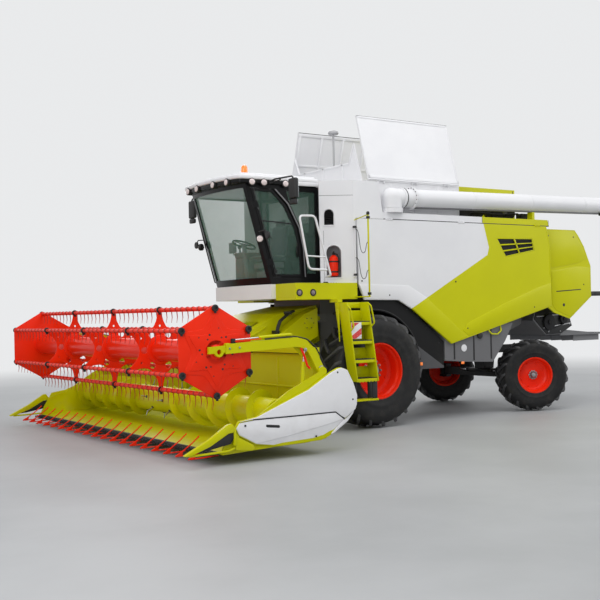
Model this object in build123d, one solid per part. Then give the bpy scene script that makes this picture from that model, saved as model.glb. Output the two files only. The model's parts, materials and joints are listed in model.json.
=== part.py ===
from build123d import *
import math
import os

# Combine harvester with a grain header. Millimetres. X runs rearwards from the front axle, Y to the
# machine's right and Z up from the floor. Every piece is shifted along X at the end, so that the
# stored origin lies on the floor under the middle of the whole machine.

# Overall reach and clearances
X_FRONT = -4400.0
X_REAR = 6140.0
GAP = 5.0
FIT = 0.5
PIN_FIT = 0.05

# Hinges: knuckle length, ear thickness and running gap along the pin
KNUCKLE_LENGTH = 100.0
EAR_T = 12.0
EAR_GAP = 0.5
EAR_NOTCH = 5.0

# Wheels and axles
WHEELBASE = 3750.0
FRONT_TYRE_R = 905.0
FRONT_TYRE_W = 650.0
FRONT_RIM_R = 437.0
FRONT_TRACK_Y = 1280.0
FRONT_DISC_Y = -30.0
FRONT_HUB_R = 190.0
FRONT_HUB_Y = 225.0
GUARD_GAP = 55.0
GUARD_T = 25.0
REAR_TYRE_R = 645.0
REAR_TYRE_W = 500.0
REAR_RIM_R = 312.0
REAR_DISC_Y = -60.0
REAR_HUB_R = 84.0
REAR_KING_Y = 1160.0
REAR_KING_OFFSET = 120.0
STEER_AT_REST = -27.0
RIM_WALL = 16.0
AXLE_HALF = 130.0
FINAL_INNER_Y = 790.0
FINAL_R = 205.0
REAR_BEAM_HALF = 75.0
KNUCKLE_HALF = 62.0
KINGPIN_R = 30.0
YOKE_HALF = 130.0
YOKE_T = 40.0
YOKE_ROOM = 50.0
STEER_LEVER_W = 30.0

# Frame, body and side panels
BODY_Y = 700.0
BODY_FRONT_X = -550.0
BODY_REAR_X = 4060.0
BODY_STEP_X = 3000.0
RAIL_H = 145.0
BODY_BOTTOM_Z = FRONT_TYRE_R + AXLE_HALF + RAIL_H
BODY_TAIL_Z = 1560.0
BODY_TOP_Z = 3335.0
RAIL_Y = 480.0
RAIL_W = 100.0
RAIL_END_X = WHEELBASE + 250.0
SIDE_Y = 1450.0
PANEL_T = 36.0
DECK_Z = 3450.0
DECK_Y = 1420.0
DECK_X0 = -330.0
DOOR_TOP_Z = BODY_TOP_Z - GAP
DOOR_HINGES_X = (330.0, 1900.0, 3740.0)
DOOR_PIN_R = 5.0
DOOR_KNUCKLE_R = 10.0

# Grain tank and its covers
TANK_X0 = 125.0
TANK_X1 = 2150.0
TANK_WELL_X0 = -300.0
TANK_WELL_Z = 2250.0
TANK_Y = 1130.0
TANK_TOP_Z = 4000.0
TANK_WALL = 20.0
LID_X0 = 140.0
LID_X1 = 2120.0
LID_LENGTH = 1130.0
LID_HINGE_Y = 1150.0
LID_LEAN = 15.5
LID_T = 25.0
LID_HINGES_X = (420.0, 1130.0, 1840.0)
LID_PIN_R = 7.0
LID_KNUCKLE_R = 14.0
FLAP_X = 65.0
FLAP_T = 18.0
EAR_TIP_Z = 4640.0

# Tower behind the cab
TOWER_TOP_Z = 3930.0
TOWER_FRONT_X = -640.0
TOWER_CORNER_X = -845.0
TOWER_CORNER_Y = 1160.0
TOWER_OUT_X = -388.0
TOWER_IN_Y = 905.0
TOWER_LOW_REAR_X = -350.0

# Cab
CAB_Y = 870.0
CAB_WALL = 45.0
CAB_REAR_X = -655.0
CAB_BASE_Z = 2310.0
CAB_SILL_Z = 2420.0
CAB_TOP_Z = 3860.0
CAB_FRONT_X = -1575.0
CAB_LEAN = 440.0
CAB_BULGE = 95.0
PILLAR_W = 70.0
WINDOW_TOP_Z = 3800.0
DOOR_T = 40.0
DOOR_RIM = 48.0
DOOR_GAP = 8.0
CAB_LEAN_RATE = CAB_LEAN / (CAB_TOP_Z - CAB_BASE_Z)
CAB_HINGE_X = -1600.0
CAB_HINGE_OUT = 15.0
CAB_HINGES = (220.0, 1100.0)
CAB_PIN_R = 6.0
CAB_KNUCKLE_R = 12.0
GLASS_T = 6.0
GLASS_IN = 14.0
ROOF_FRONT_X = -2250.0
ROOF_REAR_X = -680.0
ROOF_Y = 930.0
FASCIA_Z = 3960.0
ROOF_STEP_Z = 4005.0
ROOF_TOP_Z = 4060.0
LIP_BOTTOM_Z = 2080.0
LIP_SPLIT_X = -1510.0
LIP_OUT = 20.0

# Platform and ladder
PLATFORM_X0 = -1510.0
PLATFORM_X1 = -345.0
PLATFORM_BOTTOM_Z = 2055.0
LADDER_IN_Y = FRONT_TRACK_Y + FRONT_TYRE_W / 2 + 45.0
LADDER_OUT_Y = LADDER_IN_Y + 220.0
LADDER_PIVOT_X = -800.0
LADDER_PIVOT_Y = LADDER_IN_Y - 90.0
LADDER_PIN_R = 18.0
LADDER_X = -870.0
LADDER_W = 400.0
LADDER_LEAN = 0.139
LADDER_T = 25.0
LADDER_TOP_Z = 2000.0
LADDER_BOTTOM_Z = 780.0
LADDER_HEAD = 90.0
STEP_Z = (1710.0, 1420.0, 1130.0, 840.0)
STEP_T = 28.0
FOOT_STEP_Z = 510.0

# Unloading tube
ELBOW_X = 470.0
ELBOW_Y = 1350.0
TUBE_R = 150.0
TUBE_Z = 3700.0
TUBE_REAR_Z = 3790.0
TUBE_REAR_X = 5980.0
COLLAR_R = 165.0
COLLAR_Z = 3525.0
SPIGOT_R = 90.0
SPIGOT_LENGTH = 70.0

# Rear hood
ENGINE_HOOD_Z = 4070.0
HOOD_Y = 1300.0
HOOD_T = 30.0
HOOD_X0 = BODY_REAR_X + 25.0
HOOD_TOP_Z = 3300.0
TAIL_HINGE_X = 4930.0
TAIL_HINGE_Z = 3275.0
TAIL_HINGES_Y = (-900.0, 0.0, 900.0)

# Feeder house and header
FEEDER_Y = 700.0
FEEDER_PIVOT_X = -620.0
FEEDER_PIVOT_Z = 1760.0
TRUNNION_R = 40.0
HEADER_Y = 3380.0
TABLE_Y = 3280.0
END_T = 30.0
TABLE_BACK_X = -2300.0
TABLE_TOP_Z = 1310.0
KNIFE_X = -3890.0
KNIFE_Z = 135.0
LIFTERS = 19
DIVIDER_BASE_X = -3690.0
INTAKE_X = -3000.0
INTAKE_Z = 560.0
INTAKE_R = 200.0
FLIGHT_R = 300.0
FLIGHT_T = 10.0
FLIGHT_PITCH = 560.0
FLIGHT_TURNS = 4

# Reel and its arms
REEL_X = -3840.0
REEL_Z = 1390.0
REEL_R = 545.0
REEL_RIM = 45.0
REEL_Y = 3160.0
REEL_TUBE_R = 150.0
REEL_SHAFT_R = 32.0
PLATE_T = 12.0
BAT_R = 26.0
TINE_LENGTH = 180.0
TINES = 22
SPOKE_HALF = 25.0
REEL_PIVOT_X = -2330.0
REEL_PIVOT_Z = 1120.0
ARM_Y0 = 3206.0
ARM_Y1 = 3272.0
ARM_WALL = 13.0
ARM_FRONT_X = -3750.0
ARM_BEND_X = -2700.0
ARM_FRONT_Z = 1425.0
ARM_HALF = 62.0
ARM_SLOPE = 0.05066
SLIDER_HALF = 43.0

# Cylinders: lower pin, upper pin and half spacing across the machine
LIFT_BASE = (-190.0, FRONT_TYRE_R - 85.0)
LIFT_PIN = (-1480.0, 905.0)
LIFT_Y = 560.0
LIFT_BASE_R = 25.0
LIFT_PIN_R = 20.0
REEL_BASE_R = 15.0
REEL_PIN_R = 12.0
REEL_BASE = (-2620.0, 850.0)
REEL_PIN = (-2575.0, 1375.0)
EYE_SLACK = 8.0

# Handrails, ladder pole and the two slack cords between them
RAIL_R = 12.0
RAIL_X = -400.0
RAIL_Y_OUT = -1490.0
POLE_R = 14.0
POLE_X = -372.0
POLE_Y_OUT = -1800.0
CORD_R = 5.0
CORD_UPPER = [(-400, -1502, 3155), (-399, -1540, 3148), (-397, -1572, 3105), (-395, -1590, 3030),
              (-393, -1600, 2940), (-390, -1612, 2850), (-386, -1640, 2780), (-381, -1690, 2762),
              (-377, -1728, 2800), (-375, -1742, 2860), (-373, -1752, 2910), (-372, -1786, 2935)]
CORD_LOWER = [(-400, -1502, 2702), (-399, -1540, 2695), (-397, -1572, 2655), (-395, -1588, 2590),
              (-393, -1600, 2510), (-390, -1615, 2430), (-386, -1645, 2372), (-381, -1692, 2358),
              (-377, -1728, 2392), (-375, -1742, 2440), (-373, -1754, 2480), (-372, -1786, 2500)]

# Tow jaw under the tail
HITCH_X = WHEELBASE + 360.0
HITCH_Z = BODY_BOTTOM_Z - 70.0
HITCH_R = 16.0
HITCH_HALF_Y = 60.0
HITCH_HALF_Z = 40.0
HITCH_SLOT = 30.0

SHIFT_X = -(X_FRONT + X_REAR) / 2


def save(name, *shapes):
    """Writes the shapes as one node, moved to the stored origin."""
    solids = [s for shape in shapes for s in shape.solids()]
    node = solids[0] if len(solids) == 1 else Compound(solids)
    export_step(Pos(SHIFT_X, 0, 0) * node, f"parts/{name}.step")


def box(x0, x1, y0, y1, z0, z1):
    """A box between two corners."""
    return Pos((x0 + x1) / 2, (y0 + y1) / 2, (z0 + z1) / 2) * Box(abs(x1 - x0), abs(y1 - y0), abs(z1 - z0))


def prism(points, direction):
    """A closed outline of 3-D points drawn out along a direction."""
    return Solid.extrude(Face(Wire.make_polygon([Vector(*p) for p in points], close=True)), Vector(*direction))


def side(points, y0, y1):
    """An (x, z) outline drawn out from y0 to y1."""
    return prism([(x, y0, z) for x, z in points], (0, y1 - y0, 0))


def plan(points, z0, z1):
    """An (x, y) outline drawn out from z0 to z1."""
    return prism([(x, y, z0) for x, y in points], (0, 0, z1 - z0))


def cross(points, x0, x1):
    """A (y, z) outline drawn out from x0 to x1."""
    return prism([(x0, y, z) for y, z in points], (x1 - x0, 0, 0))


def other(shape):
    """The mirror image on the machine's other side."""
    return shape.mirror(Plane.XZ)


def pair(shape):
    """The shape and its mirror image, as separate solids."""
    return Compound([*shape.solids(), *other(shape).solids()])


def rod(start, end, radius):
    """A round bar between two points."""
    start, end = Vector(*start), Vector(*end)
    plane = Plane(origin=start, z_dir=end - start)
    return plane * Cylinder(radius, (end - start).length, align=(Align.CENTER, Align.CENTER, Align.MIN))


def drum(x, z, radius, y0, y1):
    """A cylinder across the machine."""
    return rod((x, min(y0, y1), z), (x, max(y0, y1), z), radius)


def bent(points, bends, radius):
    """A round tube along straight runs joined by tangent arcs."""
    path = FilletPolyline(*points, radius=bends)
    section = Plane(origin=path @ 0, z_dir=path % 0) * Circle(radius)
    return sweep(section, path=path).solids()[0]


def hinge(place, pin_r, knuckle_r):
    """One hinge along the place's Z axis: the fixed pin with its two ears, and the moving knuckle."""
    knuckle = Cylinder(knuckle_r, KNUCKLE_LENGTH) - Cylinder(pin_r + PIN_FIT, KNUCKLE_LENGTH + 2)
    reach = KNUCKLE_LENGTH / 2 + EAR_GAP + EAR_T / 2
    ears = Cylinder(pin_r, 2 * reach)
    for side_sign in (-1, 1):
        ears += Pos(0, 0, side_sign * reach) * Cylinder(knuckle_r, EAR_T)
    return place * ears, place * knuckle


def ear_spans(centre):
    """The two stretches along a hinge line that its ears take."""
    start = KNUCKLE_LENGTH / 2 + EAR_GAP
    return [(centre - start - EAR_T, centre - start), (centre + start, centre + start + EAR_T)]


def cord(name, points):
    """A slack cord: straight runs joined by arcs as large as the runs allow."""
    vectors = [Vector(*p) for p in points]
    radii = []
    for before, here, after in zip(vectors, vectors[1:], vectors[2:]):
        turn = math.radians((here - before).get_angle(after - here))
        shorter = min((here - before).length, (after - here).length)
        radii.append(0.45 * shorter / math.tan(turn / 2))
    print(name, "radii", [round(r) for r in radii])
    save(name, bent(points, radii, CORD_R))


def ring(profile):
    """An outline of (radius, y) points turned about the Y axis."""
    face = Face(Wire.make_polygon([Vector(r, y, 0) for r, y in profile], close=True))
    return revolve(face, Axis.Y)


def tyre(radius, width, rim_radius):
    """A tyre about the Y axis, out to the tips of its lugs."""
    half = width / 2
    bead = rim_radius + FIT
    wall = radius - rim_radius
    flank = [(bead, 0.84), (bead + wall * 0.25, 0.97), (bead + wall * 0.50, 1.0),
             (radius - wall * 0.22, 0.96), (radius - wall * 0.07, 0.90), (radius, 0.72)]
    return ring([(r, -half * w) for r, w in flank] + [(r, half * w) for r, w in reversed(flank)])


def rim(rim_radius, width, disc_y, hub_radius, hub_inner):
    """A rim about the Y axis: barrel, disc at disc_y, outer cap and a hub that reaches to hub_inner."""
    half = width / 2 * 0.84
    inner = rim_radius - RIM_WALL
    barrel = ring([(inner, -half), (rim_radius, -half), (rim_radius, half), (inner, half)])
    hub = ring([(0, disc_y - 70), (hub_radius * 0.6, disc_y - 70), (hub_radius * 0.6, disc_y),
                (inner + 2, disc_y), (inner + 2, disc_y + RIM_WALL), (hub_radius, disc_y + RIM_WALL),
                (hub_radius, hub_inner), (0, hub_inner)])
    return barrel + hub


def wheels():
    """Front wheels and steered rear wheels."""
    front_tyre = Pos(0, -FRONT_TRACK_Y, FRONT_TYRE_R) * tyre(FRONT_TYRE_R, FRONT_TYRE_W, FRONT_RIM_R)
    front_rim = Pos(0, -FRONT_TRACK_Y, FRONT_TYRE_R) * rim(FRONT_RIM_R, FRONT_TYRE_W, FRONT_DISC_Y,
                                                           FRONT_HUB_R, FRONT_HUB_Y)
    save("front_left_tyre", front_tyre)
    save("front_left_rim", front_rim)
    save("front_right_tyre", other(front_tyre))
    save("front_right_rim", other(front_rim))
    hub_inner = REAR_KING_OFFSET - KNUCKLE_HALF - FIT
    rear_tyre = tyre(REAR_TYRE_R, REAR_TYRE_W, REAR_RIM_R)
    rear_rim = rim(REAR_RIM_R, REAR_TYRE_W, REAR_DISC_Y, REAR_HUB_R, hub_inner)
    for name, sign in (("left", -1), ("right", 1)):
        kingpin = Pos(WHEELBASE, sign * REAR_KING_Y, REAR_TYRE_R) * Rot(0, 0, STEER_AT_REST)
        place = kingpin * Pos(0, sign * REAR_KING_OFFSET, 0)
        outward = (lambda shape: shape) if sign < 0 else other
        save(f"rear_{name}_tyre", place * outward(rear_tyre))
        save(f"rear_{name}_rim", place * outward(rear_rim))
        block = Box(2 * KNUCKLE_HALF, 2 * KNUCKLE_HALF, 2 * (YOKE_HALF - YOKE_T - 1))
        block += Cylinder(KINGPIN_R, 2 * YOKE_HALF + 20)
        block += Pos(KNUCKLE_HALF + 60, 0, -30) * Box(150, STEER_LEVER_W, 30)
        save(f"rear_{name}_knuckle", kingpin * block)


def axles():
    """Front drive axle, rear steering axle and the frame between them."""
    outer_y = FRONT_TRACK_Y - FRONT_HUB_Y - FIT
    beam = box(-AXLE_HALF, AXLE_HALF, -FINAL_INNER_Y, FINAL_INNER_Y,
               FRONT_TYRE_R - AXLE_HALF, FRONT_TYRE_R + AXLE_HALF)
    final = drum(0, FRONT_TYRE_R, FINAL_R, -outer_y, -FINAL_INNER_Y + 1)
    ear_x, ear_z = LIFT_BASE[0] - 45, LIFT_BASE[1]
    ear = side([(-AXLE_HALF + 1, ear_z + 80), (ear_x, ear_z + 40), (ear_x, ear_z - 40), (-AXLE_HALF + 1, ear_z - 44)],
               LIFT_Y - 60, LIFT_Y - 38)
    ears = ear + Pos(0, 98, 0) * ear + drum(*LIFT_BASE, LIFT_BASE_R, LIFT_Y - 60, LIFT_Y + 60)
    save("front_axle", beam + final + other(final) + ears + other(ears))
    beam_top = REAR_TYRE_R + REAR_BEAM_HALF
    yoke_root = REAR_KING_Y - KNUCKLE_HALF - YOKE_ROOM
    half = REAR_BEAM_HALF - 10
    rear = box(WHEELBASE - REAR_BEAM_HALF, WHEELBASE + REAR_BEAM_HALF, -yoke_root, yoke_root,
               REAR_TYRE_R - REAR_BEAM_HALF, beam_top)
    yoke = box(WHEELBASE - half, WHEELBASE + half, yoke_root - 40, yoke_root,
               REAR_TYRE_R - YOKE_HALF, REAR_TYRE_R + YOKE_HALF)
    for z0 in (REAR_TYRE_R - YOKE_HALF, REAR_TYRE_R + YOKE_HALF - YOKE_T):
        yoke += box(WHEELBASE - half, WHEELBASE + half, yoke_root - 40, REAR_KING_Y + 55, z0, z0 + YOKE_T)
    yoke -= Pos(WHEELBASE, REAR_KING_Y, REAR_TYRE_R) * Cylinder(KINGPIN_R + PIN_FIT, 2 * YOKE_HALF + 40)
    save("rear_axle", rear + yoke + other(yoke))
    frame_bottom = FRONT_TYRE_R + AXLE_HALF
    saddle = cross([(-120, beam_top), (120, beam_top), (170, frame_bottom), (-170, frame_bottom)],
                   WHEELBASE - 130, WHEELBASE + 130)
    frame = box(-200, RAIL_END_X, RAIL_Y, RAIL_Y + RAIL_W, frame_bottom, BODY_BOTTOM_Z)
    frame += other(frame)
    for x in (0, 700, 1700, 2700, WHEELBASE):
        frame += box(x - 60, x + 60, -RAIL_Y - 1, RAIL_Y + 1, frame_bottom, BODY_BOTTOM_Z)
    frame += box(RAIL_END_X - 1, HITCH_X + 45, -HITCH_HALF_Y, HITCH_HALF_Y,
                 HITCH_Z - HITCH_HALF_Z, HITCH_Z + HITCH_HALF_Z)
    frame += box(RAIL_END_X - 60, RAIL_END_X, -RAIL_Y - 1, RAIL_Y + 1, frame_bottom, HITCH_Z + HITCH_HALF_Z)
    frame -= box(HITCH_X - 60, HITCH_X + 50, -HITCH_HALF_Y - 1, HITCH_HALF_Y + 1,
                 HITCH_Z - HITCH_SLOT / 2, HITCH_Z + HITCH_SLOT / 2)
    frame -= Pos(HITCH_X, 0, HITCH_Z) * Cylinder(HITCH_R, 3 * HITCH_HALF_Z)
    save("chassis_frame", frame + saddle)


def side_door_hinge(x):
    """Fixed and moving piece of one side door hinge."""
    return hinge(Plane(origin=(x, -SIDE_Y, DOOR_TOP_Z), z_dir=(1, 0, 0)), DOOR_PIN_R, DOOR_KNUCKLE_R)


def body_and_tank():
    """Threshing body, decks, grain tank with its covers and front flap."""
    body = side([(BODY_FRONT_X, BODY_BOTTOM_Z), (BODY_STEP_X, BODY_BOTTOM_Z), (BODY_REAR_X, BODY_TAIL_Z),
                 (BODY_REAR_X, BODY_TOP_Z), (TANK_X1, BODY_TOP_Z), (TANK_X1, TANK_WELL_Z),
                 (TANK_WELL_X0, TANK_WELL_Z), (TANK_WELL_X0, BODY_TOP_Z), (BODY_FRONT_X, BODY_TOP_Z)],
                -BODY_Y, BODY_Y)
    bearing = box(FEEDER_PIVOT_X - 70, BODY_FRONT_X + 100, BODY_Y + GAP, BODY_Y + GAP + 30,
                  FEEDER_PIVOT_Z - 70, FEEDER_PIVOT_Z + 70)
    bearing += box(BODY_FRONT_X + 5, BODY_FRONT_X + 100, BODY_Y - 1, BODY_Y + GAP + 1,
                   FEEDER_PIVOT_Z - 70, FEEDER_PIVOT_Z + 70)
    bearing -= drum(FEEDER_PIVOT_X, FEEDER_PIVOT_Z, TRUNNION_R + PIN_FIT, BODY_Y, BODY_Y + 60)
    save("threshing_body", body + bearing + other(bearing))
    well = box(TANK_WELL_X0, TANK_X1, -BODY_Y, BODY_Y, TANK_WELL_Z, DECK_Z)
    tank = well + box(TANK_X0, TANK_X1, -TANK_Y, TANK_Y, DECK_Z, TANK_TOP_Z)
    x0, x1 = TANK_X0 + TANK_WALL, TANK_X1 - TANK_WALL
    y0, y1 = BODY_Y - TANK_WALL, TANK_Y - TANK_WALL
    floor_z, slope_z = TANK_WELL_Z + 150, DECK_Z - 400
    tank -= box(x0, x1, -y1, y1, DECK_Z + TANK_WALL, TANK_TOP_Z + 1)
    tank -= cross([(-150, floor_z), (150, floor_z), (y0, slope_z), (y0, DECK_Z + TANK_WALL + 1),
                   (-y0, DECK_Z + TANK_WALL + 1), (-y0, slope_z)], x0, x1)
    sheet = box(LID_X0, LID_X1, 0, LID_T, 0, LID_LENGTH)
    lid = Pos(0, -LID_HINGE_Y, TANK_TOP_Z + GAP) * Rot(-LID_LEAN, 0, 0) * Pos(0, -LID_T, 0) * sheet
    for x in LID_HINGES_X:
        place = Plane(origin=(x, -LID_HINGE_Y, TANK_TOP_Z + GAP), z_dir=(1, 0, 0))
        ears, knuckle = hinge(place, LID_PIN_R, LID_KNUCKLE_R)
        for x0, x1 in ear_spans(x):
            ears += box(x0, x1, -LID_HINGE_Y - LID_KNUCKLE_R, -TANK_Y + 1, TANK_TOP_Z - 40, TANK_TOP_Z + GAP)
            lid -= rod((x0 - EAR_NOTCH, -LID_HINGE_Y, TANK_TOP_Z + GAP),
                       (x1 + EAR_NOTCH, -LID_HINGE_Y, TANK_TOP_Z + GAP), LID_KNUCKLE_R + EAR_NOTCH)
        lid -= rod((x - KNUCKLE_LENGTH / 2 - EAR_NOTCH, -LID_HINGE_Y, TANK_TOP_Z + GAP),
                   (x + KNUCKLE_LENGTH / 2 + EAR_NOTCH, -LID_HINGE_Y, TANK_TOP_Z + GAP), LID_PIN_R + PIN_FIT)
        lid += knuckle
        tank += ears + other(ears)
    save("grain_tank", tank)
    deck = side([(DECK_X0, BODY_TOP_Z), (BODY_REAR_X + 20, BODY_TOP_Z), (BODY_REAR_X - 20, DECK_Z),
                 (DECK_X0, DECK_Z)], -DECK_Y, DECK_Y) - well
    for x in DOOR_HINGES_X:
        ears = side_door_hinge(x)[0]
        for x0, x1 in ear_spans(x):
            ears += cross([(-SIDE_Y - 8, DOOR_TOP_Z + 2), (-SIDE_Y - 8, DOOR_TOP_Z + 22),
                           (-DECK_Y + 1, DOOR_TOP_Z + 22), (-DECK_Y + 1, DOOR_TOP_Z + 6),
                           (-SIDE_Y + 8, DOOR_TOP_Z + 2)], x0, x1)
        deck += ears + other(ears)
    save("side_decks", deck)
    save("tank_front_flap", cross([(-1110, TOWER_TOP_Z), (1110, TOWER_TOP_Z), (880, EAR_TIP_Z), (740, 4330),
                                   (-740, 4330), (-880, EAR_TIP_Z)], FLAP_X, FLAP_X + FLAP_T))
    save("tank_lid_left", lid)
    save("tank_lid_right", other(lid))


def tower():
    """Housing behind the cab, with an arched vent and a niche for the fire extinguisher."""
    outline = [(BODY_FRONT_X, BODY_Y), (BODY_FRONT_X, TOWER_IN_Y), (TOWER_FRONT_X, TOWER_IN_Y),
               (TOWER_CORNER_X, TOWER_CORNER_Y), (TOWER_OUT_X, SIDE_Y), (TOWER_LOW_REAR_X, SIDE_Y),
               (TOWER_LOW_REAR_X, BODY_Y)]
    lower = plan(outline, CAB_BASE_Z, BODY_TOP_Z)
    half = [(TOWER_FRONT_X, TOWER_IN_Y), (TOWER_CORNER_X, TOWER_CORNER_Y), (TOWER_OUT_X, SIDE_Y), (120, SIDE_Y)]
    shape = lower + other(lower) + plan([(x, -y) for x, y in half] + half[::-1], BODY_TOP_Z, TOWER_TOP_Z)
    cheek = side([(119, BODY_TOP_Z), (210, BODY_TOP_Z), (119, TOWER_TOP_Z)], -SIDE_Y, -TANK_Y - GAP)
    shape += cheek + other(cheek)
    shape -= box(DECK_X0, BODY_REAR_X, -DECK_Y, DECK_Y, BODY_TOP_Z - 1, DECK_Z)
    run_x, run_y = TOWER_OUT_X - TOWER_CORNER_X, TOWER_CORNER_Y - SIDE_Y
    length = math.hypot(run_x, run_y)
    place = Pos(TOWER_CORNER_X, -TOWER_CORNER_Y, 0) * Rot(0, 0, math.degrees(math.atan2(run_y, run_x)))
    # Each recess: share of the face's width, half width, bottom, spring line of its arch, depth
    recesses = [(0.28, 75, 3230, 3400, 90), (0.40, 115, 2400, 2790, 150)]
    for share, half_w, z0, z1, depth in recesses:
        arch = box(-half_w, half_w, -20, depth, z0, z1)
        arch += Pos(0, (depth - 20) / 2, z1) * Rot(90, 0, 0) * Cylinder(half_w, depth + 20)
        shape -= place * Pos(share * length, 0, 0) * arch
    save("service_tower", shape)
    bottle = Pos(0, 0, 2420) * Cylinder(70, 330, align=(Align.CENTER, Align.CENTER, Align.MIN))
    bottle += Pos(0, 0, 2750) * Cylinder(22, 70, align=(Align.CENTER, Align.CENTER, Align.MIN))
    bottle += box(-20, 20, 60, 148, 2560, 2600)
    save("fire_extinguisher", place * Pos(0.40 * length, 72, 0) * bottle - shape)


def arc_slab(x_front, bulge, y, x_rear, z0, direction):
    """A plan outline with a curved front edge, drawn out along a direction."""
    outline = Wire([
        Edge.make_three_point_arc((x_front, -y, z0), (x_front - bulge, 0, z0), (x_front, y, z0)),
        Edge.make_line((x_front, y, z0), (x_rear, y, z0)),
        Edge.make_line((x_rear, y, z0), (x_rear, -y, z0)),
        Edge.make_line((x_rear, -y, z0), (x_front, -y, z0)),
    ])
    return Solid.extrude(Face(outline), Vector(*direction))


def cab_solid(inset, inset_rear=None):
    """The cab's outer form, moved inwards all round by the inset."""
    inset_rear = inset if inset_rear is None else inset_rear
    y = CAB_Y - inset
    slanted = arc_slab(CAB_FRONT_X + inset, CAB_BULGE, y, 1500, CAB_BASE_Z, (-CAB_LEAN, 0, CAB_TOP_Z - CAB_BASE_Z))
    return slanted & box(-3000, CAB_REAR_X - inset_rear, -y, y, CAB_BASE_Z + inset, CAB_TOP_Z - inset)


def pillar_x(z):
    """Where the front pillar's outer edge stands at a height."""
    return CAB_FRONT_X - CAB_LEAN * (z - CAB_BASE_Z) / (CAB_TOP_Z - CAB_BASE_Z)


def inset_side(points, inset, y0, y1):
    """An (x, z) outline, moved inwards by the inset, drawn out from y0 to y1."""
    face = Face(Wire.make_polygon([Vector(x, y0, z) for x, z in points], close=True))
    small = offset(face, amount=-inset, kind=Kind.INTERSECTION).faces()[0] if inset else face
    return Solid.extrude(small, Vector(0, y1 - y0, 0))


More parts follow.
